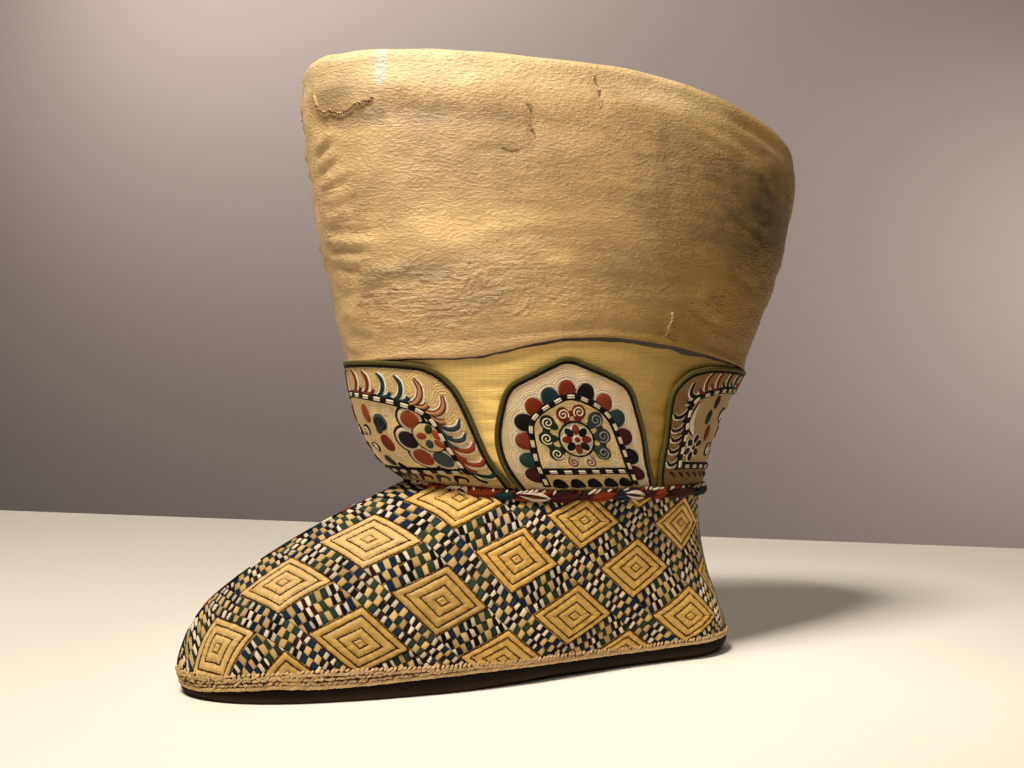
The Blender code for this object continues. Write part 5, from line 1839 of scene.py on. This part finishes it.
def make_panels():
    """Four embroidered panels on the band and the cords couched round them."""
    side = Unrolled(SIDE_PANEL_CENTRE, SIDE_PANEL_LEAN / SIDE_PANEL_TOP)
    make_panel("side_panels", side_spot, 110, 90, side, side_embroidery(), SIDE_BORDER,
               (FIELD_YELLOW, PANEL_CREAM), ("side_panel_left", "side_panel_right"), both_sides=True)
    make_panel("front_panel", front_spot, 190, 80, Unrolled(0.0), front_embroidery(), whole_arch(FRONT_ARCH),
               (FIELD_YELLOW, STRIP_GOLD), ("front_panel",))
    # The back panel's grounds are painted darker as shade.
    make_panel("back_panel", back_spot, 220, 80, Unrolled(180.0), back_embroidery(), whole_arch(BACK_ARCH),
               (BACK_FIELD_SHADED, BACK_STRIP_SHADED), ("back_panel",))
    make_piping("side_piping", side_spot, ("side_piping_left", "side_piping_right"), both_sides=True)
    make_piping("front_piping", front_spot, ("front_piping",))
    make_piping("back_piping", back_spot, ("back_piping",))


# ---------------------------------------------------------------- stage


FLOOR_EDGE_LEFT = (-0.863, -0.262)
FLOOR_EDGE_RIGHT = (-0.250, 0.484)


def stage_material(name, tint):
    look = Look(name, 0.75, specular=0.2, tint=tint)
    grain = look.noise(500, 2)
    return look.finish([(0.97, 1.03, grain)], [(grain, 0.1, 0.2)])


def make_stage():
    """Plain pale floor, and a plain wall far behind its edge."""
    left, right = Vector((*FLOOR_EDGE_LEFT, 0)), Vector((*FLOOR_EDGE_RIGHT, 0))
    along = (right - left).normalized()
    ends = [left - along * 3, right + along * 3]
    front = Vector((along.y, -along.x, 0)) * 4
    base, up = [end - front * 0.55 - Vector((0, 0, 1)) for end in ends], Vector((0, 0, 5))
    for name, corners, tint in (
        ("floor", (ends[0], ends[0] + front, ends[1] + front, ends[1]), colour(238, 230, 214)),
        ("wall", (*base, base[1] + up, base[0] + up), colour(164, 152, 146)),
    ):
        mesh = bpy.data.meshes.new(name)
        mesh.from_pydata([tuple(c) for c in corners], [], [(0, 1, 2, 3)])
        thing = bpy.data.objects.new(name, mesh)
        bpy.context.scene.collection.objects.link(thing)
        mesh.materials.append(stage_material(name, tint))


def add_thing(name, data, place, aim):
    """A lamp or camera that looks from its place along a direction."""
    thing = bpy.data.objects.new(name, data)
    thing.location = place
    thing.rotation_mode = "QUATERNION"
    thing.rotation_quaternion = aim.to_track_quat("-Z", "Y")
    bpy.context.scene.collection.objects.link(thing)
    return thing


def add_light(kind, name, place, aim, power, tint, **settings):
    light = bpy.data.lights.new(name, kind)
    light.energy, light.color = power, tint
    for key, value in settings.items():
        setattr(light, key, value)
    add_thing(name, light, place, Vector(aim) - Vector(place))


BOOT_MIDDLE = (0, 0, 0.12)


def light_place(turn, rise, distance):
    """A place seen from the boot at a turn from its front and a rise above the floor, both in degrees."""
    a, b = math.radians(turn), math.radians(rise)
    level = distance * math.cos(b)
    return level * math.sin(a), -level * math.cos(a), BOOT_MIDDLE[2] + distance * math.sin(b)


def make_lights():
    """Three warm lamps on the boot, three on the wall and a little light from all around."""
    warm, wall_tint = (1.0, 0.95, 0.88), (1.0, 0.93, 0.88)
    for name, place, aim, size, power, tint in (
        ("key", light_place(36, 60, 1.1), BOOT_MIDDLE, 0.3, 14.5, warm),
        ("side_fill", light_place(80, 45, 1.2), BOOT_MIDDLE, 0.5, 1.8, warm),
        ("wall_left", (-2.5, -0.6, 1.9), (-3.2, 0.2, 0.9), 0.8, 26.0, wall_tint),
        ("wall_middle", (-1.9, 0.43, 2.2), (-2.8, 1.1, 0.5), 0.8, 17.0, wall_tint),
        ("wall_right", (-0.9, 1.9, 0.5), (-2.1, 1.6, 0.0), 0.8, 11.0, wall_tint),
    ):
        add_light("AREA", name, place, aim, power, tint, shape="DISK", size=size)
    add_light("SPOT", "cuff_spot", light_place(48, 62, 1.1), (0.055, 0.0, 0.2), 22.0, warm,
              spot_size=math.radians(26.0), spot_blend=1.0, shadow_soft_size=0.06)
    world = bpy.data.worlds.new("studio")
    bpy.context.scene.world = world
    world.use_nodes = True
    background = world.node_tree.nodes["Background"]
    background.inputs["Color"].default_value = (1.0, 0.95, 0.9, 1)
    background.inputs["Strength"].default_value = 0.05
    bpy.context.scene.view_settings.view_transform = "Standard"


CAMERA_PLACE = (0.4786, -0.188, 0.121)
CAMERA_AZIMUTH = 68.4
CAMERA_PITCH = 0.83
CAMERA_LENS = 38.99
SENSOR_WIDTH = 36.0


def make_camera():
    data = bpy.data.cameras.new("camera")
    data.lens, data.sensor_width = CAMERA_LENS, SENSOR_WIDTH
    azimuth, pitch = math.radians(CAMERA_AZIMUTH), math.radians(CAMERA_PITCH)
    aim = Vector((-math.sin(azimuth) * math.cos(pitch), math.cos(azimuth) * math.cos(pitch), math.sin(pitch)))
    bpy.context.scene.camera = add_thing("camera", data, CAMERA_PLACE, aim)


def finish_cad_nodes():
    """The insole keeps its shape and is lined like the wall."""
    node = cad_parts["insole"]
    node.data.materials.clear()
    node.data.materials.append(LINING_CLOTH)
    tint = node.data.attributes.new("tint", "FLOAT_COLOR", "POINT")
    tint.data.foreach_set("color", np.tile([*LINING, 1.0], len(node.data.vertices)).astype(np.float32))


for make in (
    make_camera, make_stage, make_lights, finish_cad_nodes,
    make_foot_cloth, make_checkers, make_diamonds, make_diamond_stitches, make_sole, make_edge_binding,
    make_ankle_cord, make_cord_wraps, make_cord_crossings, make_ankle_stitches, make_vamp_cord,
    make_band_cloth, make_panels, make_cuff, make_cuff_tears,
):
    make()
